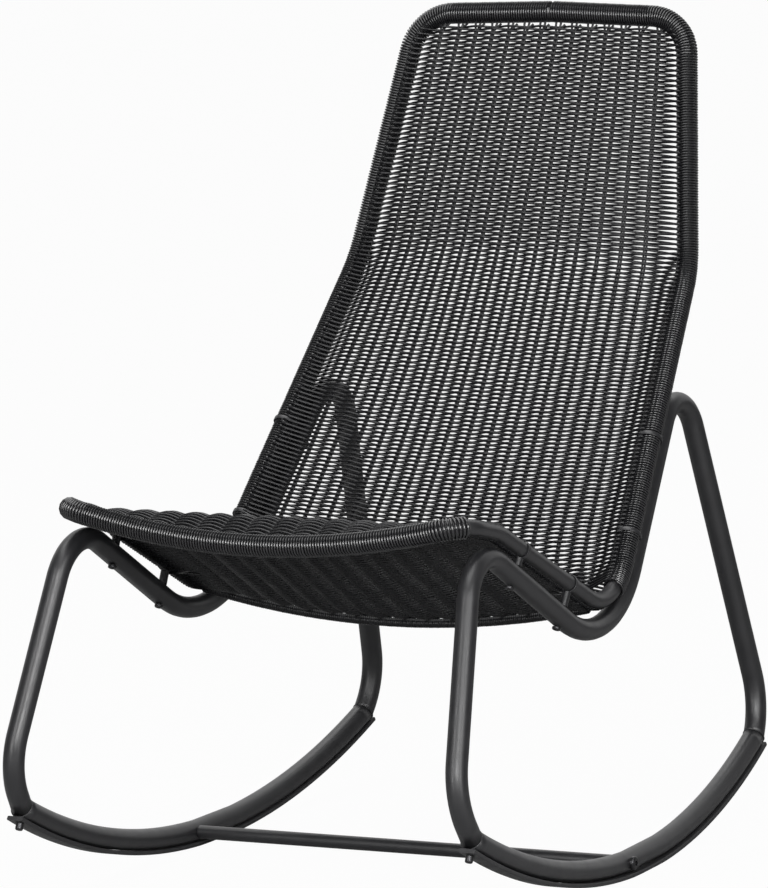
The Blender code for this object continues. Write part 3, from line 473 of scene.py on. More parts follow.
REFERENCE = (LIP_CORNER + SEAT_BACK_CORNER) / 2
REFERENCE_HALF_WIDTH = (LIP_HALF_WIDTH + SEAT_BACK_HALF_WIDTH) / 2 - FRAME_INSET
FLAT_ANGLE = math.asin(SOLE_FLAT / 2 / ROCKER_RADIUS)
ROCKER_CENTRE = np.array([0.0, ROCKER_RADIUS * math.cos(FLAT_ANGLE)])
ROCKER_TUBE_ARC = ROCKER_RADIUS - SOLE_THICKNESS - GAP - FRAME_RADIUS
FRONT_FOOT = -math.asin(FRONT_FOOT_REACH / ROCKER_TUBE_ARC)
REAR_FOOT = math.asin(REAR_FOOT_REACH / ROCKER_TUBE_ARC)
print("feet at", round(math.degrees(FRONT_FOOT), 1), "and", round(math.degrees(REAR_FOOT), 1),
      "degrees of the rocker's arc")

# %% Centre lines of frame and rocker
ROCKER_POINTS = (28, 22)


def in_frame_plane(point):
    """A point of the side view, on the leaning plane of the right side frame."""
    half_width = REFERENCE_HALF_WIDTH - FRAME_SPLAY * (point[1] - REFERENCE[1])
    half_width -= FRAME_TOE * (point[0] - REFERENCE[0])
    return at_side(half_width, point)


def on_rocker(angle, radius):
    """A point of the side view at an angle from the lowest point of the rocker's arc."""
    return ROCKER_CENTRE + radius * np.array([math.sin(angle), -math.cos(angle)])


def frame_corners():
    """Corners of a side frame with their bend radii, from the front foot to the rear foot."""
    front_foot = on_rocker(FRONT_FOOT, ROCKER_TUBE_ARC)
    rear_foot = on_rocker(REAR_FOOT, ROCKER_TUBE_ARC)
    front_knee = front_foot + FRONT_FOOT_RUN * heading(180 + math.degrees(FRONT_FOOT) - WELD_TURN)
    rear_knee = rear_foot + REAR_FOOT_RUN * heading(math.degrees(REAR_FOOT) + WELD_TURN)
    seat = heading(-SEAT_SLOPE)
    square = np.array([-seat[1], seat[0]])
    drops = [SHELL_TUBE_RADIUS + gap + FRAME_RADIUS for gap in SEAT_CLAMP_GAPS]
    rail_front, rail_rear = [LIP_CORNER + seat * place - square * drop
                             for place, drop in zip(SEAT_CLAMPS, drops)]
    rail = unit(rail_rear - rail_front)
    back = heading(90 - LOWER_BACK_RECLINE)
    behind = WRAP_RADIUS + BACK_CLAMP_GAP + FRAME_RADIUS
    back_start = SEAT_BACK_CORNER + behind * np.array([back[1], -back[0]])
    return [
        (front_foot, 0),
        (front_knee, KNEE_BEND),
        (crossing(front_knee, heading(90 - FRONT_LEG_LEAN), rail_front, rail), FRONT_LEG_BEND),
        (crossing(rail_front, rail, back_start, back), RAIL_BEND),
        (crossing(back_start, back, rear_knee, heading(90 + REAR_LEG_LEAN)), REAR_LEG_BEND),
        (rear_knee, KNEE_BEND),
        (rear_foot, 0),
    ]


FRAME_PATH = rounded_path([(in_frame_plane(corner), radius) for corner, radius in frame_corners()])
ROCKER_ANGLES = np.concatenate([np.linspace(FRONT_FOOT, -FLAT_ANGLE, ROCKER_POINTS[0]),
                                np.linspace(FLAT_ANGLE, REAR_FOOT, ROCKER_POINTS[1])])
ROCKER_PATH = np.array([in_frame_plane(on_rocker(angle, ROCKER_TUBE_ARC))
                        for angle in ROCKER_ANGLES])
FRONT_WELD = unit(unit(ROCKER_PATH[1] - ROCKER_PATH[0]) + unit(FRAME_PATH[0] - FRAME_PATH[1]))
REAR_WELD = unit(unit(ROCKER_PATH[-1] - ROCKER_PATH[-2]) + unit(FRAME_PATH[-2] - FRAME_PATH[-1]))
print("frame tube:", round(lengths_along(FRAME_PATH)[-1], 3), "m, rocker:",
      round(lengths_along(ROCKER_PATH)[-1], 3), "m")

# %% [markdown]
# Tools for the pieces
#
# A bent tube is a curve with a round bevel that is then made a mesh: the curve keeps the tube's section
# round in every bend. The feet are cut at the weld with Bisect, which also closes the cut. The left side
# is the mirror image of the right one, and a mirrored mesh needs its faces turned out again.

# %% Bent tubes with cut ends
TUBE_SMOOTHING = math.radians(75)
EDGE_SMOOTHING = math.radians(40)
END_REACH = 0.040


def select_only(piece):
    """Makes a piece the one that is selected and active."""
    bpy.ops.object.select_all(action="DESELECT")
    piece.select_set(True)
    bpy.context.view_layer.objects.active = piece


def tubes(name, paths, radius, roundness, closed=False):
    """Round tubes along paths, as one mesh; roundness 0 gives 4 flats, and each step 2 more."""
    curve = bpy.data.curves.new(name, "CURVE")
    curve.dimensions = "3D"
    curve.bevel_depth = radius
    curve.bevel_resolution = roundness
    curve.use_fill_caps = True
    for path in paths:
        spline = curve.splines.new("POLY")
        spline.points.add(len(path) - 1)
        spline.points.foreach_set("co", np.column_stack([path, np.ones(len(path))]).ravel())
        spline.use_cyclic_u = closed
    piece = bpy.data.objects.new(name, curve)
    bpy.context.scene.collection.objects.link(piece)
    select_only(piece)
    bpy.ops.object.convert(target="MESH")
    bpy.ops.object.shade_smooth_by_angle(angle=TUBE_SMOOTHING)
    return bpy.context.object


def cut_end(piece, place, outward):
    """Cuts the end of a tube near a place off at a plane, and closes the cut."""
    select_only(piece)
    bpy.ops.object.mode_set(mode="EDIT")
    bpy.ops.mesh.select_mode(type="VERT")
    bpy.ops.mesh.select_all(action="DESELECT")
    shape = bmesh.from_edit_mesh(piece.data)
    for vertex in shape.verts:
        vertex.select_set((vertex.co - Vector(place)).length < END_REACH)
    shape.select_flush(True)
    bmesh.update_edit_mesh(piece.data)
    bpy.ops.mesh.bisect(plane_co=place, plane_no=outward, use_fill=True, clear_outer=True)
    bpy.ops.object.mode_set(mode="OBJECT")


print("a cut takes the last", END_REACH, "m of a tube")


# %% Copies and finishes
def placed_copy(piece, name, matrix):
    """A copy with its own mesh, moved in the mesh."""
    mesh = piece.data.copy()
    mesh.transform(matrix)
    if matrix.determinant() < 0:
        mesh.flip_normals()
    copy = bpy.data.objects.new(name, mesh)
    bpy.context.scene.collection.objects.link(copy)
    return copy


def finish_piece(piece, slot, *nodes, finish=None):
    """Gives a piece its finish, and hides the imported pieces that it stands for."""
    piece.data.materials.clear()
    piece.data.materials.append(finish or FINISHES[slot])
    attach(piece, "root")
    if nodes:
        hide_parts(*nodes)


def finish_pair(piece, kind, slot, replaces=True, finish=None):
    """Finishes a right-hand piece and its mirror image on the left."""
    left = placed_copy(piece, f"left_{kind}_visual", Matrix.Scale(-1, 4, (1, 0, 0)))
    for side, made in (("right", piece), ("left", left)):
        finish_piece(made, slot, *([f"{side}_{kind}"] if replaces else []), finish=finish)


print("finishes to give:", len(FINISHES))

# %% [markdown]
# Side frames
#
# The frame's tube and the rocker's tube meet in a mitre at each foot, and a thin weld runs round it. Both
# tubes are drawn a little too long and cut at the mitre's plane.

# %% Bent frame tubes and rockers
SPARE = 0.012
WELD_RADIUS = 0.0009
WELD_POINTS = 40


def lengthened(path):
    """The path with both of its ends drawn out."""
    longer = path.copy()
    longer[0] += unit(path[0] - path[1]) * SPARE
    longer[-1] += unit(path[-1] - path[-2]) * SPARE
    return longer


def weld_ring(foot, along, plane):
    """The line round a tube where a plane cuts it."""
    across = unit(np.cross(along, plane))
    upward = np.cross(along, across)
    angles = np.linspace(0, 2 * math.pi, WELD_POINTS, endpoint=False)
    ring = FRAME_RADIUS * (np.outer(np.cos(angles), across) + np.outer(np.sin(angles), upward))
    return foot + ring - np.outer(ring @ plane / (along @ plane), along)


side_frame = tubes("right_side_frame_visual", [lengthened(FRAME_PATH)], FRAME_RADIUS, roundness=10)
cut_end(side_frame, FRAME_PATH[0], FRONT_WELD)
cut_end(side_frame, FRAME_PATH[-1], -REAR_WELD)
finish_pair(side_frame, "side_frame", "black_powder_coat")

rocker = tubes("right_rocker_visual", [lengthened(ROCKER_PATH)], FRAME_RADIUS, roundness=10)
cut_end(rocker, ROCKER_PATH[0], -FRONT_WELD)
cut_end(rocker, ROCKER_PATH[-1], REAR_WELD)
finish_pair(rocker, "rocker", "black_powder_coat")

rings = [weld_ring(FRAME_PATH[0], unit(FRAME_PATH[1] - FRAME_PATH[0]), FRONT_WELD),
         weld_ring(FRAME_PATH[-1], unit(FRAME_PATH[-2] - FRAME_PATH[-1]), REAR_WELD)]
welds = tubes("right_foot_welds", rings, WELD_RADIUS, roundness=1, closed=True)
finish_pair(welds, "foot_welds", "black_powder_coat", replaces=False)
print("side frames:", len(side_frame.data.vertices), "points each")

# %% [markdown]
# Soles
#
# A plastic strip lies under each rocker. Its section is a rounded rectangle, drawn once as an outline at
# the front end and swept round the rocker's centre with Spin. The swept strip then leans with the frame's
# plane, and what would reach below the floor is pressed flat: that is the level stretch on which the
# chair stands.

# %% Strips under the rockers
SOLE_WIDTH = 0.020
SOLE_OVERHANG = 0.008
SOLE_CORNER = 0.0012
SOLE_STEPS = 72
OVERHANG_ANGLE = SOLE_OVERHANG / ROCKER_RADIUS


def sole_strip(name):
    """The right sole, swept round the rocker's centre."""
    middle = ROCKER_RADIUS - SOLE_THICKNESS / 2
    start = FRONT_FOOT - OVERHANG_ANGLE
    sweep = REAR_FOOT + OVERHANG_ANGLE - start
    centre = (0.0, ROCKER_CENTRE[0] + ROCKER_MIDDLE, ROCKER_CENTRE[1])
    bpy.ops.object.select_all(action="DESELECT")
    bpy.ops.mesh.primitive_plane_add(size=1)
    strip = bpy.context.object
    strip.name = name
    bpy.ops.object.mode_set(mode="EDIT")
    bpy.ops.transform.resize(value=(SOLE_WIDTH, SOLE_THICKNESS, 1))
    bpy.ops.mesh.bevel(offset=SOLE_CORNER, segments=3, affect="VERTICES")
    bpy.ops.mesh.select_all(action="SELECT")
    bpy.ops.mesh.delete(type="ONLY_FACE")
    bpy.ops.object.mode_set(mode="OBJECT")
    upright = Matrix.Rotation(math.pi / 2, 4, "X")
    lowered = Matrix.Translation((0, 0, -middle))
    swung = Matrix.Rotation(start, 4, "X")
    strip.data.transform(Matrix.Translation(centre) @ swung @ lowered @ upright)
    bpy.ops.object.mode_set(mode="EDIT")
    bpy.ops.mesh.select_all(action="SELECT")
    bpy.ops.mesh.spin(steps=SOLE_STEPS, angle=-sweep, center=centre, axis=(1, 0, 0))
    bpy.ops.mesh.select_all(action="SELECT")
    bpy.ops.mesh.fill_holes(sides=0)
    bpy.ops.mesh.normals_make_consistent(inside=False)
    bpy.ops.object.mode_set(mode="OBJECT")
    for vertex in strip.data.vertices:
        side_view = (vertex.co.y - ROCKER_MIDDLE, vertex.co.z)
        vertex.co.x += in_frame_plane(side_view)[0]
        vertex.co.z = max(vertex.co.z, 0.0)
    bpy.ops.object.shade_smooth_by_angle(angle=EDGE_SMOOTHING)
    return strip


sole = sole_strip("right_rocker_sole_visual")
finish_pair(sole, "rocker_sole", "black_sole")
low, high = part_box("right_rocker_sole")
print("sole:", len(sole.data.vertices), "points, packed sole from", tuple(low), "to", tuple(high))

# %% [markdown]
# Bolts and screws
#
# Every bolt has a round head with a six-sided key socket. One bolt is modelled head up at the origin: a
# cylinder whose top edge is rounded, a shank drawn out of its underside and a socket cut out of its top.
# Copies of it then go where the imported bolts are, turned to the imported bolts' axes.

# %% A bolt with a key socket
LEVEL_SLACK = 1e-5
NEARLY_UPRIGHT = 0.9
HEAD_SIDES = 32
HEAD_ROUNDING = 0.45
KEY_SHARE = 0.42


def select_level(piece, height):
    """In edit mode, selects the faces that lie level at a height."""
    bpy.ops.mesh.select_all(action="DESELECT")
    bpy.ops.mesh.select_mode(type="FACE")
    shape = bmesh.from_edit_mesh(piece.data)
    for face in shape.faces:
        off_level = abs(face.calc_center_median().z - height)
        face.select_set(off_level < LEVEL_SLACK and abs(face.normal.z) > NEARLY_UPRIGHT)
    bmesh.update_edit_mesh(piece.data)


def socket_bolt(name, head_radius, head_height, shank_radius, shank_length):
    """A bolt with its head's seat at the origin and its head towards +Z."""
    bpy.ops.object.select_all(action="DESELECT")
    bpy.ops.mesh.primitive_cylinder_add(vertices=HEAD_SIDES, radius=head_radius, depth=head_height,
                                        location=(0, 0, head_height / 2))
    bolt = bpy.context.object
    bolt.name = name
    bpy.ops.object.transform_apply(location=True)
    bpy.ops.object.mode_set(mode="EDIT")
    select_level(bolt, head_height)
    rounding = min(head_height, head_radius) * HEAD_ROUNDING
    bpy.ops.mesh.bevel(offset=rounding, segments=4, affect="EDGES")
    select_level(bolt, 0.0)
    bpy.ops.mesh.inset(thickness=head_radius - shank_radius)
    bpy.ops.mesh.extrude_region_move(TRANSFORM_OT_translate={"value": (0, 0, -shank_length)})
    bpy.ops.object.mode_set(mode="OBJECT")
    bpy.ops.mesh.primitive_cylinder_add(vertices=6, radius=head_radius * KEY_SHARE, depth=head_height,
                                        location=(0, 0, head_height))
    key = bpy.context.object
    select_only(bolt)
    socket = bolt.modifiers.new("key socket", "BOOLEAN")
    socket.object = key
    socket.solver = "EXACT"
    bpy.ops.object.modifier_apply(modifier=socket.name)
    bpy.data.objects.remove(key)
    bpy.ops.object.shade_smooth_by_angle(angle=EDGE_SMOOTHING)
    return bolt


print("bolt heads have", HEAD_SIDES, "sides and a key socket of", KEY_SHARE, "of their size")

# %% Bolts in their places
SIDES = ("left", "right")
HEAD_SHARE = 0.9


def packed_bolt_place(node):
    """(middle, direction of the head, length) of a packed bolt, from the points of its solid."""
    mesh = frame["nodes"][node].data
    points = np.array([vertex.co for vertex in mesh.vertices])
    centre = points.mean(0)
    spread = np.linalg.svd(points - centre, full_matrices=False)[2]
    middle = (points.min(0) + points.max(0)) / 2
    along = spread[0]
    heights = (points - middle) @ along
    widths = np.linalg.norm((points - middle) - np.outer(heights, along), axis=1)
    if heights[widths > widths.max() * HEAD_SHARE].mean() < 0:
        along = -along
    return middle, along, np.ptp(heights)


def fit_bolts(kind, slot, head_radius, head_height, shank_radius):
    """Makes one bolt and puts a copy of it in the place of each packed bolt of a kind."""
    nodes = [f"{side}_{kind}" for side in SIDES]
    length = packed_bolt_place(nodes[0])[2]
    pattern = socket_bolt("pattern", head_radius, head_height, shank_radius, length - head_height)
    for node in nodes:
        middle, along, length = packed_bolt_place(node)
        seat = middle + along * (length / 2 - head_height)
        turn = Vector((0, 0, 1)).rotation_difference(Vector(along)).to_matrix().to_4x4()
        copy = placed_copy(pattern, node + "_visual", Matrix.Translation(seat) @ turn)
        finish_piece(copy, slot, node)
    bpy.data.objects.remove(pattern)
    print(len(nodes), "bolts like", nodes[0])


# Each size is the head's radius, the head's height and the shank's radius.
STRETCHER_BOLT = (0.008, 0.005, 0.004)
FRONT_SCREW = (0.0045, 0.008, 0.002)
REAR_SCREW = (0.0045, 0.003, 0.002)
CLAMP_BOLT = (0.005, 0.003, 0.0025)
fit_bolts("stretcher_bolt", "black_bolt", *STRETCHER_BOLT)
fit_bolts("front_sole_screw", "black_bolt", *FRONT_SCREW)
fit_bolts("rear_sole_screw", "bare_steel", *REAR_SCREW)
for kind in ("seat_clamp_bolt", "back_clamp_bolt"):
    for order in (1, 2):
        fit_bolts(f"{kind}_{order}", "black_bolt", *CLAMP_BOLT)

# %% [markdown]
# Stretcher and shell tube
#
# The stretcher is a straight tube between the rockers. The shell's tube is bare along the sides of the
# seat, where its smooth bends show, and wound with wicker elsewhere.

# %% Stretcher and shell tube
STRETCHER_RADIUS = 0.008

low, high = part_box("rocker_stretcher")
level = (low + high) / 2
ends = np.array([[low.x, level.y, level.z], [high.x, level.y, level.z]])
stretcher = tubes("rocker_stretcher_visual", [evenly(ends, spacing=0.05)], STRETCHER_RADIUS, roundness=8)
finish_piece(stretcher, "black_powder_coat", "rocker_stretcher")

shell_tube = tubes("shell_tube_visual", [SHELL_PATH[1:-1]], SHELL_TUBE_RADIUS, roundness=6)
finish_piece(shell_tube, "black_powder_coat", "shell_tube")
print("stretcher:", round(high.x - low.x, 3), "m, shell tube:",
      len(shell_tube.data.vertices), "points")

# %% [markdown]
# Ribs
#
# Fourteen ribs run from the front edge through the seat and up the back, a little closer together in the
# middle. Up the back they run straight, though the side tubes lean inward more at the shoulder. A rib is
# two strands side by side, so it is wide and flat, and the weave lies close to it on both faces. Above the
# last row the two strands part.

# %% Ribs under the weave
RIB_COUNT = 14
RIB_STRAND_RADIUS = 0.0014
OUTER_RIB_SHARE = 0.803
RIB_CROWDING = 0.05
even = np.linspace(-1, 1, RIB_COUNT)
RIB_SHARES = OUTER_RIB_SHARE * even * (1 - RIB_CROWDING * (1 - even ** 2))
SPLAY_START = EDGE_LENGTH - 0.0195
SPLAY_END = EDGE_LENGTH - 0.0120
SPLAY = 1.2
RIB_END_GAP = 0.004
BOW_GROWTH = 8
RIB_POINTS = (175, 16)
RIB_PLACES = np.concatenate([np.linspace(RIB_END_GAP, SPLAY_START - EDGE_SPACING, RIB_POINTS[0]),
                             np.linspace(SPLAY_START, EDGE_LENGTH - RIB_END_GAP, RIB_POINTS[1])])


def straightened(shares, places):
    """Shares of the width that keep a rib straight up the back."""
    climb = np.clip((places - SEAT_BACK_PLACE) / (EDGE_LENGTH - SEAT_BACK_PLACE), 0, 1)
    straight = SEAT_BACK_HALF_WIDTH + (TOP_HALF_WIDTH - SEAT_BACK_HALF_WIDTH) * climb
    return shares * np.where(climb > 0, straight / half_width_at(places), 1)


for order, share in enumerate(RIB_SHARES, 1):
    bowed = RIB_PLACES + TOP_BOW * (1 - abs(share)) * (RIB_PLACES / EDGE_LENGTH) ** BOW_GROWTH
    middle = straightened(share, bowed)
    splayed = 1 + SPLAY * np.clip((bowed - SPLAY_START) / (SPLAY_END - SPLAY_START), 0, 1)
    beside = RIB_STRAND_RADIUS * splayed / half_width_at(bowed)
    pair = [panel_points(bowed, middle + side * beside, 0.0) for side in (-1, 1)]
    rib = tubes(f"rib_{order:02d}_visual", pair, RIB_STRAND_RADIUS, roundness=2)
    finish_piece(rib, "black_powder_coat", f"rib_{order:02d}")
print(RIB_COUNT, "ribs,", round(EDGE_LENGTH, 3), "m each")

# %% [markdown]
# Weave
#
# The panel is a plain weave: each strand passes in front of one rib and behind the next, and the row above
# it does the opposite. Seen at a slant, light slits open beside each rib, because there the strands lie at
# different depths. A picture of a weave can't do that, so every strand is a real one. A row is a cosine
# wave between its outer ribs. At the back its ends swing over the wound edge and dive into it. At the
# seat, where the side tubes are bare, the ends go under the tube, a little untidily, and beside a clamp
# they stop before it.

# %% Ends of a row
STRAND_RADIUS = 0.00155
SELVEDGE_GAP = 0.0168
DIVE_DEPTH = 3.5 * STRAND_RADIUS
SWING_PULL = 0.7
SWING_POINTS = 7
DIVE_POINTS = 5


def swing_over(start, height, away, tube_radius, proud, dive_angle):
    """A row's end round the edge, as points of (distance inside the tube's centre, height).

    It goes over the tube where away is 1, and under it where away is -1.
    """
    ring = tube_radius + STRAND_RADIUS * proud
    span = math.hypot(start, height)
    touch = math.acos(ring / span) + away * math.atan2(height, start)
    first = np.array([start, height])
    last = ring * np.array([math.cos(touch), away * math.sin(touch)])
    leave = np.array([-1.0, 0.0]) * span * SWING_PULL
    arrive = np.array([-math.sin(touch), away * math.cos(touch)]) * span * SWING_PULL
    t = np.linspace(0, 1, SWING_POINTS)[1:, None]
    bend = (2 * t ** 3 - 3 * t ** 2 + 1) * first + (t ** 3 - 2 * t ** 2 + t) * leave
    bend += (3 * t ** 2 - 2 * t ** 3) * last + (t ** 3 - t ** 2) * arrive
    angles = np.linspace(touch, math.radians(dive_angle), DIVE_POINTS)[1:]
    radii = np.linspace(ring, tube_radius - DIVE_DEPTH, DIVE_POINTS)[1:]
    dive = np.column_stack([radii * np.cos(angles), away * radii * np.sin(angles)])
    return np.vstack([bend, dive])


def end_at_back(start, height):
    """A row's end at the back: to the other face and into the wound edge."""
    away = -math.copysign(1.0, height)
    return swing_over(start, height, away, WRAP_RADIUS, proud=0.2, dive_angle=68)


def end_at_seat(start, height):
    """A row's end at the seat: under the bare tube."""
    return swing_over(start, height, -1.0, SHELL_TUBE_RADIUS, proud=0.7, dive_angle=104)


def turn_back(start, height):
    """A row's end beside a clamp: level, up to the selvedge."""
    t = np.linspace(0, 1, DIVE_POINTS)[1:]
    ease = t * t * (3 - 2 * t)
    return np.column_stack([start + (SELVEDGE_GAP - start) * t, height * (1 - ease)])


print("row ends of", SWING_POINTS + DIVE_POINTS - 2, "points, or", DIVE_POINTS - 1, "beside a clamp")

# %% [markdown]
# Where the rows lie
#
# The panel is hollow, so the lines that run up it differ in length, and rows that kept their distance along
# the sides would gape or crowd in the middle. So each row lies at the same share of the way along every
# such line, measured on the hollow panel itself. A row strays a little, as hand work does.

# %% Lines up the panel
HEM_GAP = 0.006
FIRST_ROW = WRAP_RADIUS + 0.0015
LAST_ROW = EDGE_LENGTH - WRAP_RADIUS - 0.0044
LINE_POINTS = 400
SEAT_LINES = np.linspace(FIRST_ROW, CROSS_ROD_PLACE - HEM_GAP, LINE_POINTS)
BACK_LINES = np.linspace(CROSS_ROD_PLACE + HEM_GAP, LAST_ROW, LINE_POINTS)
LINE_SHARES = np.linspace(-1, 1, 41)
END_MARGIN = 0.001

side_points = SHELL_PATH[(SHELL_PATH[:, 0] > 0)][::-1]
edge_heights = lengths_along(EDGE[:, 1:])
side_places = np.array([closest_on(EDGE[:, 1:], point[1:])[0] for point in side_points])
side_places = np.interp(side_places, edge_heights, EDGE_LENGTHS)
on_side = (side_places > END_MARGIN) & (side_places < EDGE_LENGTH - END_MARGIN)
TUBE_PLACES = side_places[on_side]
TUBE_REACHES = side_points[on_side, 0]


def lengths_of_lines(places):
    """How long the panel's lines are up to each place, measured along the hollow panel itself."""
    return np.array([lengths_along(panel_points(places, straightened(share, places), 0.0))
                     for share in LINE_SHARES])


def places_in_row(climb, shares, lines, arcs, bow):
    """Where a row lies: the same share of the way along every line of the panel."""
    places = [np.interp(climb, arc / arc[-1], lines) for arc in arcs]
    bowed = bow * climb ** 2 * (1 - np.minimum(shares ** 2, 1))
    return np.interp(shares, LINE_SHARES, places) + bowed


print(len(LINE_SHARES), "lines up the panel, and", len(TUBE_PLACES), "places on the side tube")

# %% One row
WAVE_HEIGHT = RIB_STRAND_RADIUS + STRAND_RADIUS + GAP
WAVE_POINTS = 6
CLAMP_ROOM = 0.0065
CLAMP_PLACES = LIP_PLACE + np.array(SEAT_CLAMPS)
CLAMPED_MARGIN = SELVEDGE_GAP + 0.002
OPEN_MARGIN = WRAP_RADIUS + 0.004
ROW_STRAY = 0.00012
STRAY_PHASE = 6.28
STRAY_WAVES = (2, 9)
END_STRAY = 0.0011
chance = np.random.default_rng(7)


def row_of_weave(order, climb, lines, arcs, bow):
    """Centre line of one strand across the panel."""
    place = np.interp(climb, arcs[-1] / arcs[-1, -1], lines)
    half_width = half_width_at(place)
    reach = np.interp(place, TUBE_PLACES, TUBE_REACHES)
    wound = place > WRAP_START_PLACE
    clamped = np.abs(CLAMP_PLACES - place).min() < CLAMP_ROOM
    row_end = end_at_back if wound else turn_back if clamped else end_at_seat
    margin = CLAMPED_MARGIN if clamped else OPEN_MARGIN
    ribs = straightened(RIB_SHARES, place)
    inside = np.flatnonzero(np.abs(ribs) * half_width < reach - margin)
    steps = np.linspace(inside[0], inside[-1], (len(inside) - 1) * WAVE_POINTS + 1)
    shares = np.interp(steps, np.arange(RIB_COUNT), ribs)
    lifts = WAVE_HEIGHT * np.cos(math.pi * (steps + order))
    first, last = [row_end(reach - abs(shares[tip]) * half_width, lifts[tip]) for tip in (0, -1)]
    shares = np.concatenate([(first[::-1, 0] - reach) / half_width, shares,
                             (reach - last[:, 0]) / half_width])
    lifts = np.concatenate([first[::-1, 1], lifts, last[:, 1]])
    places = places_in_row(climb, shares, lines, arcs, bow)
    phase = chance.uniform(0, STRAY_PHASE)
    places += ROW_STRAY * np.sin(phase + shares * chance.uniform(*STRAY_WAVES))
    if not wound:
        places[:len(first)] += chance.normal(0, END_STRAY) * np.linspace(1, 0, len(first))
        places[-len(last):] += chance.normal(0, END_STRAY) * np.linspace(0, 1, len(last))
    return panel_points(places, shares, lifts)


print("a row waves", round(WAVE_HEIGHT * 1000, 2), "mm to each side of the ribs")

# %% All rows
SEAT_ROW_PITCH = 0.0029
LOWER_ROW_PITCH = 0.00285
UPPER_ROW_PITCH = 0.00313
PITCH_EASE = 0.060
ROW_BOW = 0.004


def rows_of_weave(lines, pitches, bow):
    """All rows between two places, spaced by a pitch that is given at each line place."""
    arcs = lengths_of_lines(lines)
    middle = arcs[len(LINE_SHARES) // 2]
    counts = np.concatenate([[0], np.cumsum(np.diff(middle) / pitches[1:])])
    climbs = np.interp(np.arange(int(counts[-1]) + 1), counts, middle / middle[-1])
    return [row_of_weave(order, climb, lines, arcs, bow) for order, climb in enumerate(climbs)]


seat_rows = rows_of_weave(SEAT_LINES, np.full(len(SEAT_LINES), SEAT_ROW_PITCH), 0.0)
back_pitches = np.interp(BACK_LINES, (SHOULDER_PLACE - PITCH_EASE, SHOULDER_PLACE + PITCH_EASE),
                         (LOWER_ROW_PITCH, UPPER_ROW_PITCH))
back_rows = rows_of_weave(BACK_LINES, back_pitches, ROW_BOW)
print(len(seat_rows), "rows in the seat,", len(back_rows), "in the back")

# %% [markdown]
# Strands
#
# The rows become round strands of six flats. Above the last row, a short strand leans from each rib to the
# top edge. The back has so many strands that it is made as two pieces.

# %% Strands of the seat and the back
DIAGONAL_END = SPLAY_END + 0.001
DIAGONAL_RUN = RIB_STRAND_RADIUS + 0.0075
DIAGONAL_POINTS = 5

diagonal_places = np.linspace(SPLAY_START, DIAGONAL_END, DIAGONAL_POINTS)
lean = np.linspace(RIB_STRAND_RADIUS, DIAGONAL_RUN, DIAGONAL_POINTS) / TOP_HALF_WIDTH
for share in RIB_SHARES:
    back_rows.append(panel_points(diagonal_places, straightened(share, diagonal_places) + lean, 0.0))
lower = len(back_rows) // 2
for name, rows, nodes in (("seat_weave_strands", seat_rows, ["seat_weave"]),
                          ("lower_back_weave_strands", back_rows[:lower], ["back_weave"]),
                          ("upper_back_weave_strands", back_rows[lower:], [])):
    woven = tubes(name, rows, STRAND_RADIUS, roundness=1)
    finish_piece(woven, "black_wicker", *nodes)
    print(name, "of", len(woven.data.polygons), "faces")

# %% [markdown]
# Wound edges
#
# The front edge and both back edges are wound with the same wicker, turn beside turn, and the strands are
# a little narrower than the pitch, so that each turn shows. A winding is a helix round the tube's centre
# line: at each point the line has two directions square to it, which are carried along so that they never
# twist. A ring of points at each step of the helix is the strand's section, and faces join the rings.

# %% A winding and its skin
ASKEW = (0.3, 0.5, 0.8)
TURN_POINTS = 14
SECTION_POINTS = 8
PULL = 0.00008
PULL_STEP = 5.0
PULL_SPARE = 8
STRAND_SMOOTHING = math.radians(50)
section_angles = np.linspace(0, 2 * math.pi, SECTION_POINTS, endpoint=False)


def carried_frames(path):
    """Two directions square to a path at each of its points, carried along without twist."""
    runs = np.gradient(path, axis=0)
    runs /= np.linalg.norm(runs, axis=1)[:, None]
    across = unit(np.cross(runs[0], ASKEW))
    frames = []
    for run in runs:
        across = unit(across - run * (across @ run))
        frames.append(across)
    frames = np.array(frames)
    return frames, np.cross(runs, frames)


def winding(path, pitch, outer_radius, wide, thick):
    """A flat strand wound round a path, as rings of points: (rings, points in a ring, 3)."""
    lengths = lengths_along(path)
    across, upward = carried_frames(path)
    angles = np.arange(0, 2 * math.pi * (lengths[-1] - wide) / pitch, 2 * math.pi / TURN_POINTS)
    knots = np.arange(0, angles[-1] + PULL_SPARE, PULL_STEP)
    pull = np.interp(angles, knots, chance.normal(0, PULL, len(knots)))
    rings = []
    for corner in section_angles:
        places = wide / 2 + angles / (2 * math.pi) * pitch + wide / 2 * math.cos(corner)
        radius = outer_radius - thick / 2 + pull + thick / 2 * math.sin(corner)
        sides = [np.column_stack([np.interp(places, lengths, column) for column in way.T])
                 for way in (across, upward)]
        turned = np.cos(angles)[:, None] * sides[0] + np.sin(angles)[:, None] * sides[1]
        rings.append(points_at(path, places) + radius[:, None] * turned)
    return np.array(rings).transpose(1, 0, 2)


def skin(name, rings):
    """A mesh over a strand that is given as rings of points, closed at its ends."""
    count, around = rings.shape[:2]
    last = (count - 1) * around
    faces = []
    for low in range(0, last, around):
        for this in range(around):
            after = (this + 1) % around
            faces.append((low + this, low + after, low + around + after, low + around + this))
    faces.append(range(around)[::-1])
    faces.append(range(last, last + around))
    mesh = bpy.data.meshes.new(name)
    mesh.from_pydata(rings.reshape(-1, 3).tolist(), [], faces)
    piece = bpy.data.objects.new(name, mesh)
    bpy.context.scene.collection.objects.link(piece)
    select_only(piece)
    bpy.ops.object.mode_set(mode="EDIT")
    bpy.ops.mesh.select_all(action="SELECT")
    bpy.ops.mesh.normals_make_consistent(inside=False)
    bpy.ops.object.mode_set(mode="OBJECT")
    bpy.ops.object.shade_smooth_by_angle(angle=STRAND_SMOOTHING)
    return piece


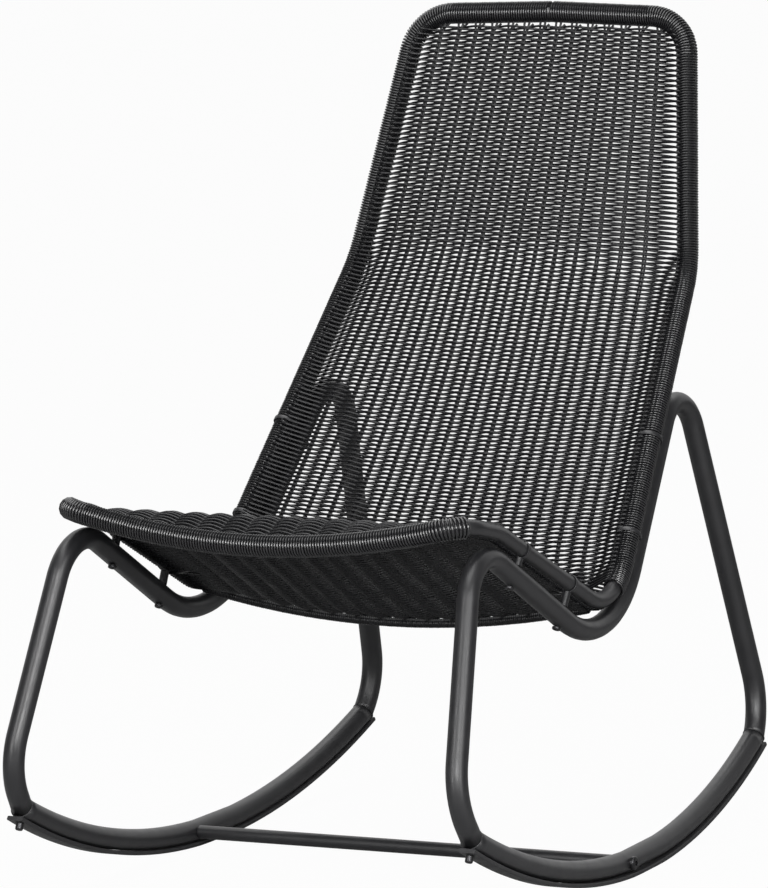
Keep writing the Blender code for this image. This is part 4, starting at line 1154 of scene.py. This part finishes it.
print("a strand has", SECTION_POINTS, "points round it and", TURN_POINTS, "rings in a turn")

# %% Windings round the edges
BACK_PITCH = 0.0032
BACK_STRAND = (0.0025, 0.0030)
FRONT_PITCH = 0.00345
FRONT_STRAND = (0.0027, 0.0032)
FRONT_WRAP_START = 0.033
FRONT_WRAP_INSET = 0.018
SEAM_START = 0.001
SEAM_OVERLAP = 0.0006


def stretch_of_shell(start, end):
    """The shell tube's centre line between two distances along it."""
    return evenly(points_at(SHELL_PATH, np.linspace(start, end, 400)), TUBE_SPACING)


back_end, front_start = [closest_on(SHELL_PATH, point)[0]
                         for point in points_at(EDGE, np.array([WRAP_START_PLACE, FRONT_WRAP_START]))]

right_edge = stretch_of_shell(SEAM_START, back_end)
seam = right_edge[0] * [0, 1, 1] - [SEAM_OVERLAP, 0, 0]
right_edge = evenly(np.vstack([seam, right_edge]), TUBE_SPACING)
back_turns = winding(right_edge, BACK_PITCH, WRAP_RADIUS, *BACK_STRAND)
back_winding = skin("right_back_edge_wrap_visual", back_turns)
# The back and front windings take the lighter wicker copy, whose colour paints a brighter sheen on them.
finish_pair(back_winding, "back_edge_wrap", "black_wicker", finish=WOUND_WICKER_PAINTED_SHEEN)

front_inset = front_start + FRONT_WRAP_INSET
front_edge = stretch_of_shell(front_inset, SHELL_LENGTH - front_start - FRONT_WRAP_INSET)
front_turns = winding(front_edge, FRONT_PITCH, WRAP_RADIUS, *FRONT_STRAND)
front_winding = skin("front_edge_wrap_visual", front_turns)
finish_piece(front_winding, "black_wicker", "front_edge_wrap", finish=WOUND_WICKER_PAINTED_SHEEN)
print("windings:", round(lengths_along(right_edge)[-1] / BACK_PITCH), "turns on each back edge,",
      round(lengths_along(front_edge)[-1] / FRONT_PITCH), "on the front")

# %% [markdown]
# Hem
#
# Where the seat meets the back, a rod runs across behind the ribs. It is wound like the edges, with the
# turns touching.

# %% Wound cross rod
CROSS_ROD_RADIUS = 0.005
RIB_RADIUS = 0.0025
HEM_STRAND = 0.0011
HEM_PITCH = 0.0026

rod_depth = -(RIB_RADIUS + GAP + CROSS_ROD_RADIUS)
rod_half_width = half_width_at(CROSS_ROD_PLACE)
rod_end = 1 - (SHELL_TUBE_RADIUS + GAP) / rod_half_width
rod_path = panel_points(CROSS_ROD_PLACE, np.linspace(-rod_end, rod_end, 180), rod_depth)
rod = tubes("seat_back_cross_rod_visual", [rod_path], CROSS_ROD_RADIUS - HEM_STRAND, roundness=3)
finish_piece(rod, "black_wicker", "seat_back_cross_rod")
hem_turns = winding(rod_path, HEM_PITCH, CROSS_ROD_RADIUS + HEM_STRAND / 2, HEM_PITCH, 2 * HEM_STRAND)
hem = skin("cross_rod_winding", hem_turns)
finish_piece(hem, "black_wicker")
print("hem of", round(lengths_along(rod_path)[-1] / HEM_PITCH), "turns")

# %% [markdown]
# Clamps
#
# A thin steel band goes round the shell's edge at each clamp, and a short post carries it on the frame.
# The band is an open cylinder that Solidify gives its wall and Bevel its soft rims. The threaded inserts
# in the stretcher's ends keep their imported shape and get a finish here.

# %% Bands and posts
BAND_WIDTH = 0.005
BAND_THICKNESS = 0.0012
POST_RADIUS = 0.005
RIM_SHARE = 0.3


def clamp(name, place, carried_radius):
    """A clamp of the right side: its band round the shell's edge and its post to the frame."""
    centre, ahead = points_at(EDGE, np.array([place, place + EDGE_SPACING]))
    foot = closest_on(FRAME_PATH, centre)[1]
    bpy.ops.object.select_all(action="DESELECT")
    bpy.ops.mesh.primitive_cylinder_add(vertices=48, radius=carried_radius + GAP, depth=BAND_WIDTH,
                                        end_fill_type="NOTHING")
    band = bpy.context.object
    wall = band.modifiers.new("wall", "SOLIDIFY")
    wall.thickness = BAND_THICKNESS
    wall.offset = 1.0
    rims = band.modifiers.new("rims", "BEVEL")
    rims.width = BAND_THICKNESS * RIM_SHARE
    rims.segments = 2
    for modifier in ("wall", "rims"):
        bpy.ops.object.modifier_apply(modifier=modifier)
    turn = Vector((0, 0, 1)).rotation_difference(Vector(ahead - centre)).to_matrix().to_4x4()
    band.data.transform(Matrix.Translation(centre) @ turn)
    towards = unit(foot - centre)
    start = centre + towards * (carried_radius + GAP * 2)
    end = foot - towards * (FRAME_RADIUS + GAP)
    post = tubes("post", [evenly(np.array([start, end]), EDGE_SPACING)], POST_RADIUS, roundness=6)
    select_only(band)
    post.select_set(True)
    bpy.ops.object.join()
    bpy.ops.object.shade_smooth_by_angle(angle=EDGE_SMOOTHING)
    band.name = name
    return band


for order, place in enumerate(CLAMP_PLACES, 1):
    made = clamp(f"right_seat_clamp_{order}_visual", place, SHELL_TUBE_RADIUS)
    finish_pair(made, f"seat_clamp_{order}", "black_powder_coat")
for order, place in enumerate(BACK_CLAMPS, 1):
    spot = SEAT_BACK_CORNER + place * heading(90 - LOWER_BACK_RECLINE)
    share = place / LOWER_BACK_LENGTH
    half_width = SEAT_BACK_HALF_WIDTH + (SHOULDER_HALF_WIDTH - SEAT_BACK_HALF_WIDTH) * share
    along = closest_on(EDGE, at_side(half_width, spot))[0]
    made = clamp(f"right_back_clamp_{order}_visual", along, WRAP_RADIUS)
    finish_pair(made, f"back_clamp_{order}", "black_powder_coat")
for side in SIDES:
    insert = frame["nodes"][f"{side}_stretcher_insert"]
    insert.data.materials.clear()
    insert.data.materials.append(BARE_STEEL)
print("clamps:", 4 * len(SIDES))

# %% [markdown]
# Floor and light
#
# The chair stands on a plain white floor that fills the picture. The camera sees the floor mostly as
# white, and the rest of its shade is the chair's soft shadow. Five soft panels light the chair: overhead,
# left, right, in front beside the camera and high behind. The room itself is dim, so that black stays
# black, but what is glossy mirrors a white wall behind the chair, and the camera sees the room as white.

# %% White floor
FLOOR_SIZE = 80.0
FLOOR_WHITENESS = 0.97
FLOOR_SHADE = (0.35, 0.35, 0.35, 1)
FLOOR_ROUGHNESS = 0.9
WHITE = (1, 1, 1, 1)

bpy.ops.object.select_all(action="DESELECT")
bpy.ops.mesh.primitive_plane_add(size=FLOOR_SIZE, location=(0, 0, 0))
floor = bpy.context.object
floor.name = "floor"
white = bpy.data.materials.new("white floor")
white.use_nodes = True
nodes = white.node_tree.nodes
paint = nodes["Principled BSDF"]
glow = nodes.new("ShaderNodeEmission")
rays = nodes.new("ShaderNodeLightPath")
share = nodes.new("ShaderNodeMath")
share.operation = "MULTIPLY"
blend = nodes.new("ShaderNodeMixShader")
set_inputs(paint, {"Base Color": FLOOR_SHADE, "Roughness": FLOOR_ROUGHNESS, "Specular IOR Level": 0.0})
set_inputs(glow, {"Color": WHITE})
set_inputs(share, {1: FLOOR_WHITENESS})
wire(white.node_tree, (rays, "Is Camera Ray", share, 0), (share, "Value", blend, "Fac"),
     (paint, "BSDF", blend, 1), (glow, "Emission", blend, 2),
     (blend, "Shader", nodes["Material Output"], "Surface"))
floor.data.materials.append(white)
print("floor of", FLOOR_SIZE, "m")

# %% Soft lights
MIDDLE_OF_CHAIR = Vector((0.0, 0.0, 0.45))


def soft_light(name, place, wide, high, power):
    """A soft light panel that faces the middle of the chair."""
    bpy.ops.object.light_add(type="AREA", location=place)
    light = bpy.context.object
    light.name = name
    light.data.shape = "RECTANGLE"
    light.data.size = wide
    light.data.size_y = high
    light.data.energy = power
    light.rotation_euler = (MIDDLE_OF_CHAIR - Vector(place)).to_track_quat("-Z", "Y").to_euler()


soft_light("overhead light", (-0.2, -0.3, 3.1), wide=3.4, high=2.0, power=65)
soft_light("left light", (-0.6, -3.4, 1.4), wide=0.8, high=2.2, power=44)
soft_light("right light", (3.1, -1.7, 1.4), wide=0.9, high=2.2, power=48)
soft_light("front light", (1.9, -3.3, 1.7), wide=1.7, high=0.9, power=92)
soft_light("high back light", (-0.6, 2.3, 3.0), wide=3.2, high=1.2, power=18)

# %% Dim room with a white wall
ROOM_LIGHT = 0.10
WALL_LIGHT = 0.9
WALL_EDGE = (0.35, 0.75)
BEHIND = Vector((-0.47, 0.88, 0.10))

world = bpy.data.worlds.new("dim room with a white wall")
bpy.context.scene.world = world
world.use_nodes = True
nodes = world.node_tree.nodes
room = nodes["Background"]
towards = nodes.new("ShaderNodeTexCoord")
facing = nodes.new("ShaderNodeVectorMath")
facing.operation = "DOT_PRODUCT"
wall = nodes.new("ShaderNodeMapRange")
wall.interpolation_type = "SMOOTHSTEP"
rays = nodes.new("ShaderNodeLightPath")
mirrored = nodes.new("ShaderNodeMix")
looked_at = nodes.new("ShaderNodeMix")
set_inputs(room, {"Color": WHITE})
set_inputs(facing, {1: BEHIND.normalized()})
set_inputs(wall, {"From Min": WALL_EDGE[0], "From Max": WALL_EDGE[1],
                  "To Min": ROOM_LIGHT, "To Max": WALL_LIGHT})
set_inputs(mirrored, {"A": ROOM_LIGHT})
set_inputs(looked_at, {"B": 1.0})
wire(world.node_tree, (towards, "Generated", facing, 0), (facing, "Value", wall, "Value"),
     (rays, "Is Glossy Ray", mirrored, "Factor"), (wall, "Result", mirrored, "B"),
     (rays, "Is Camera Ray", looked_at, "Factor"), (mirrored, "Result", looked_at, "A"),
     (looked_at, "Result", room, "Strength"))
bpy.context.scene.view_settings.view_transform = "Standard"
print("room light", ROOM_LIGHT, "and wall", WALL_LIGHT)
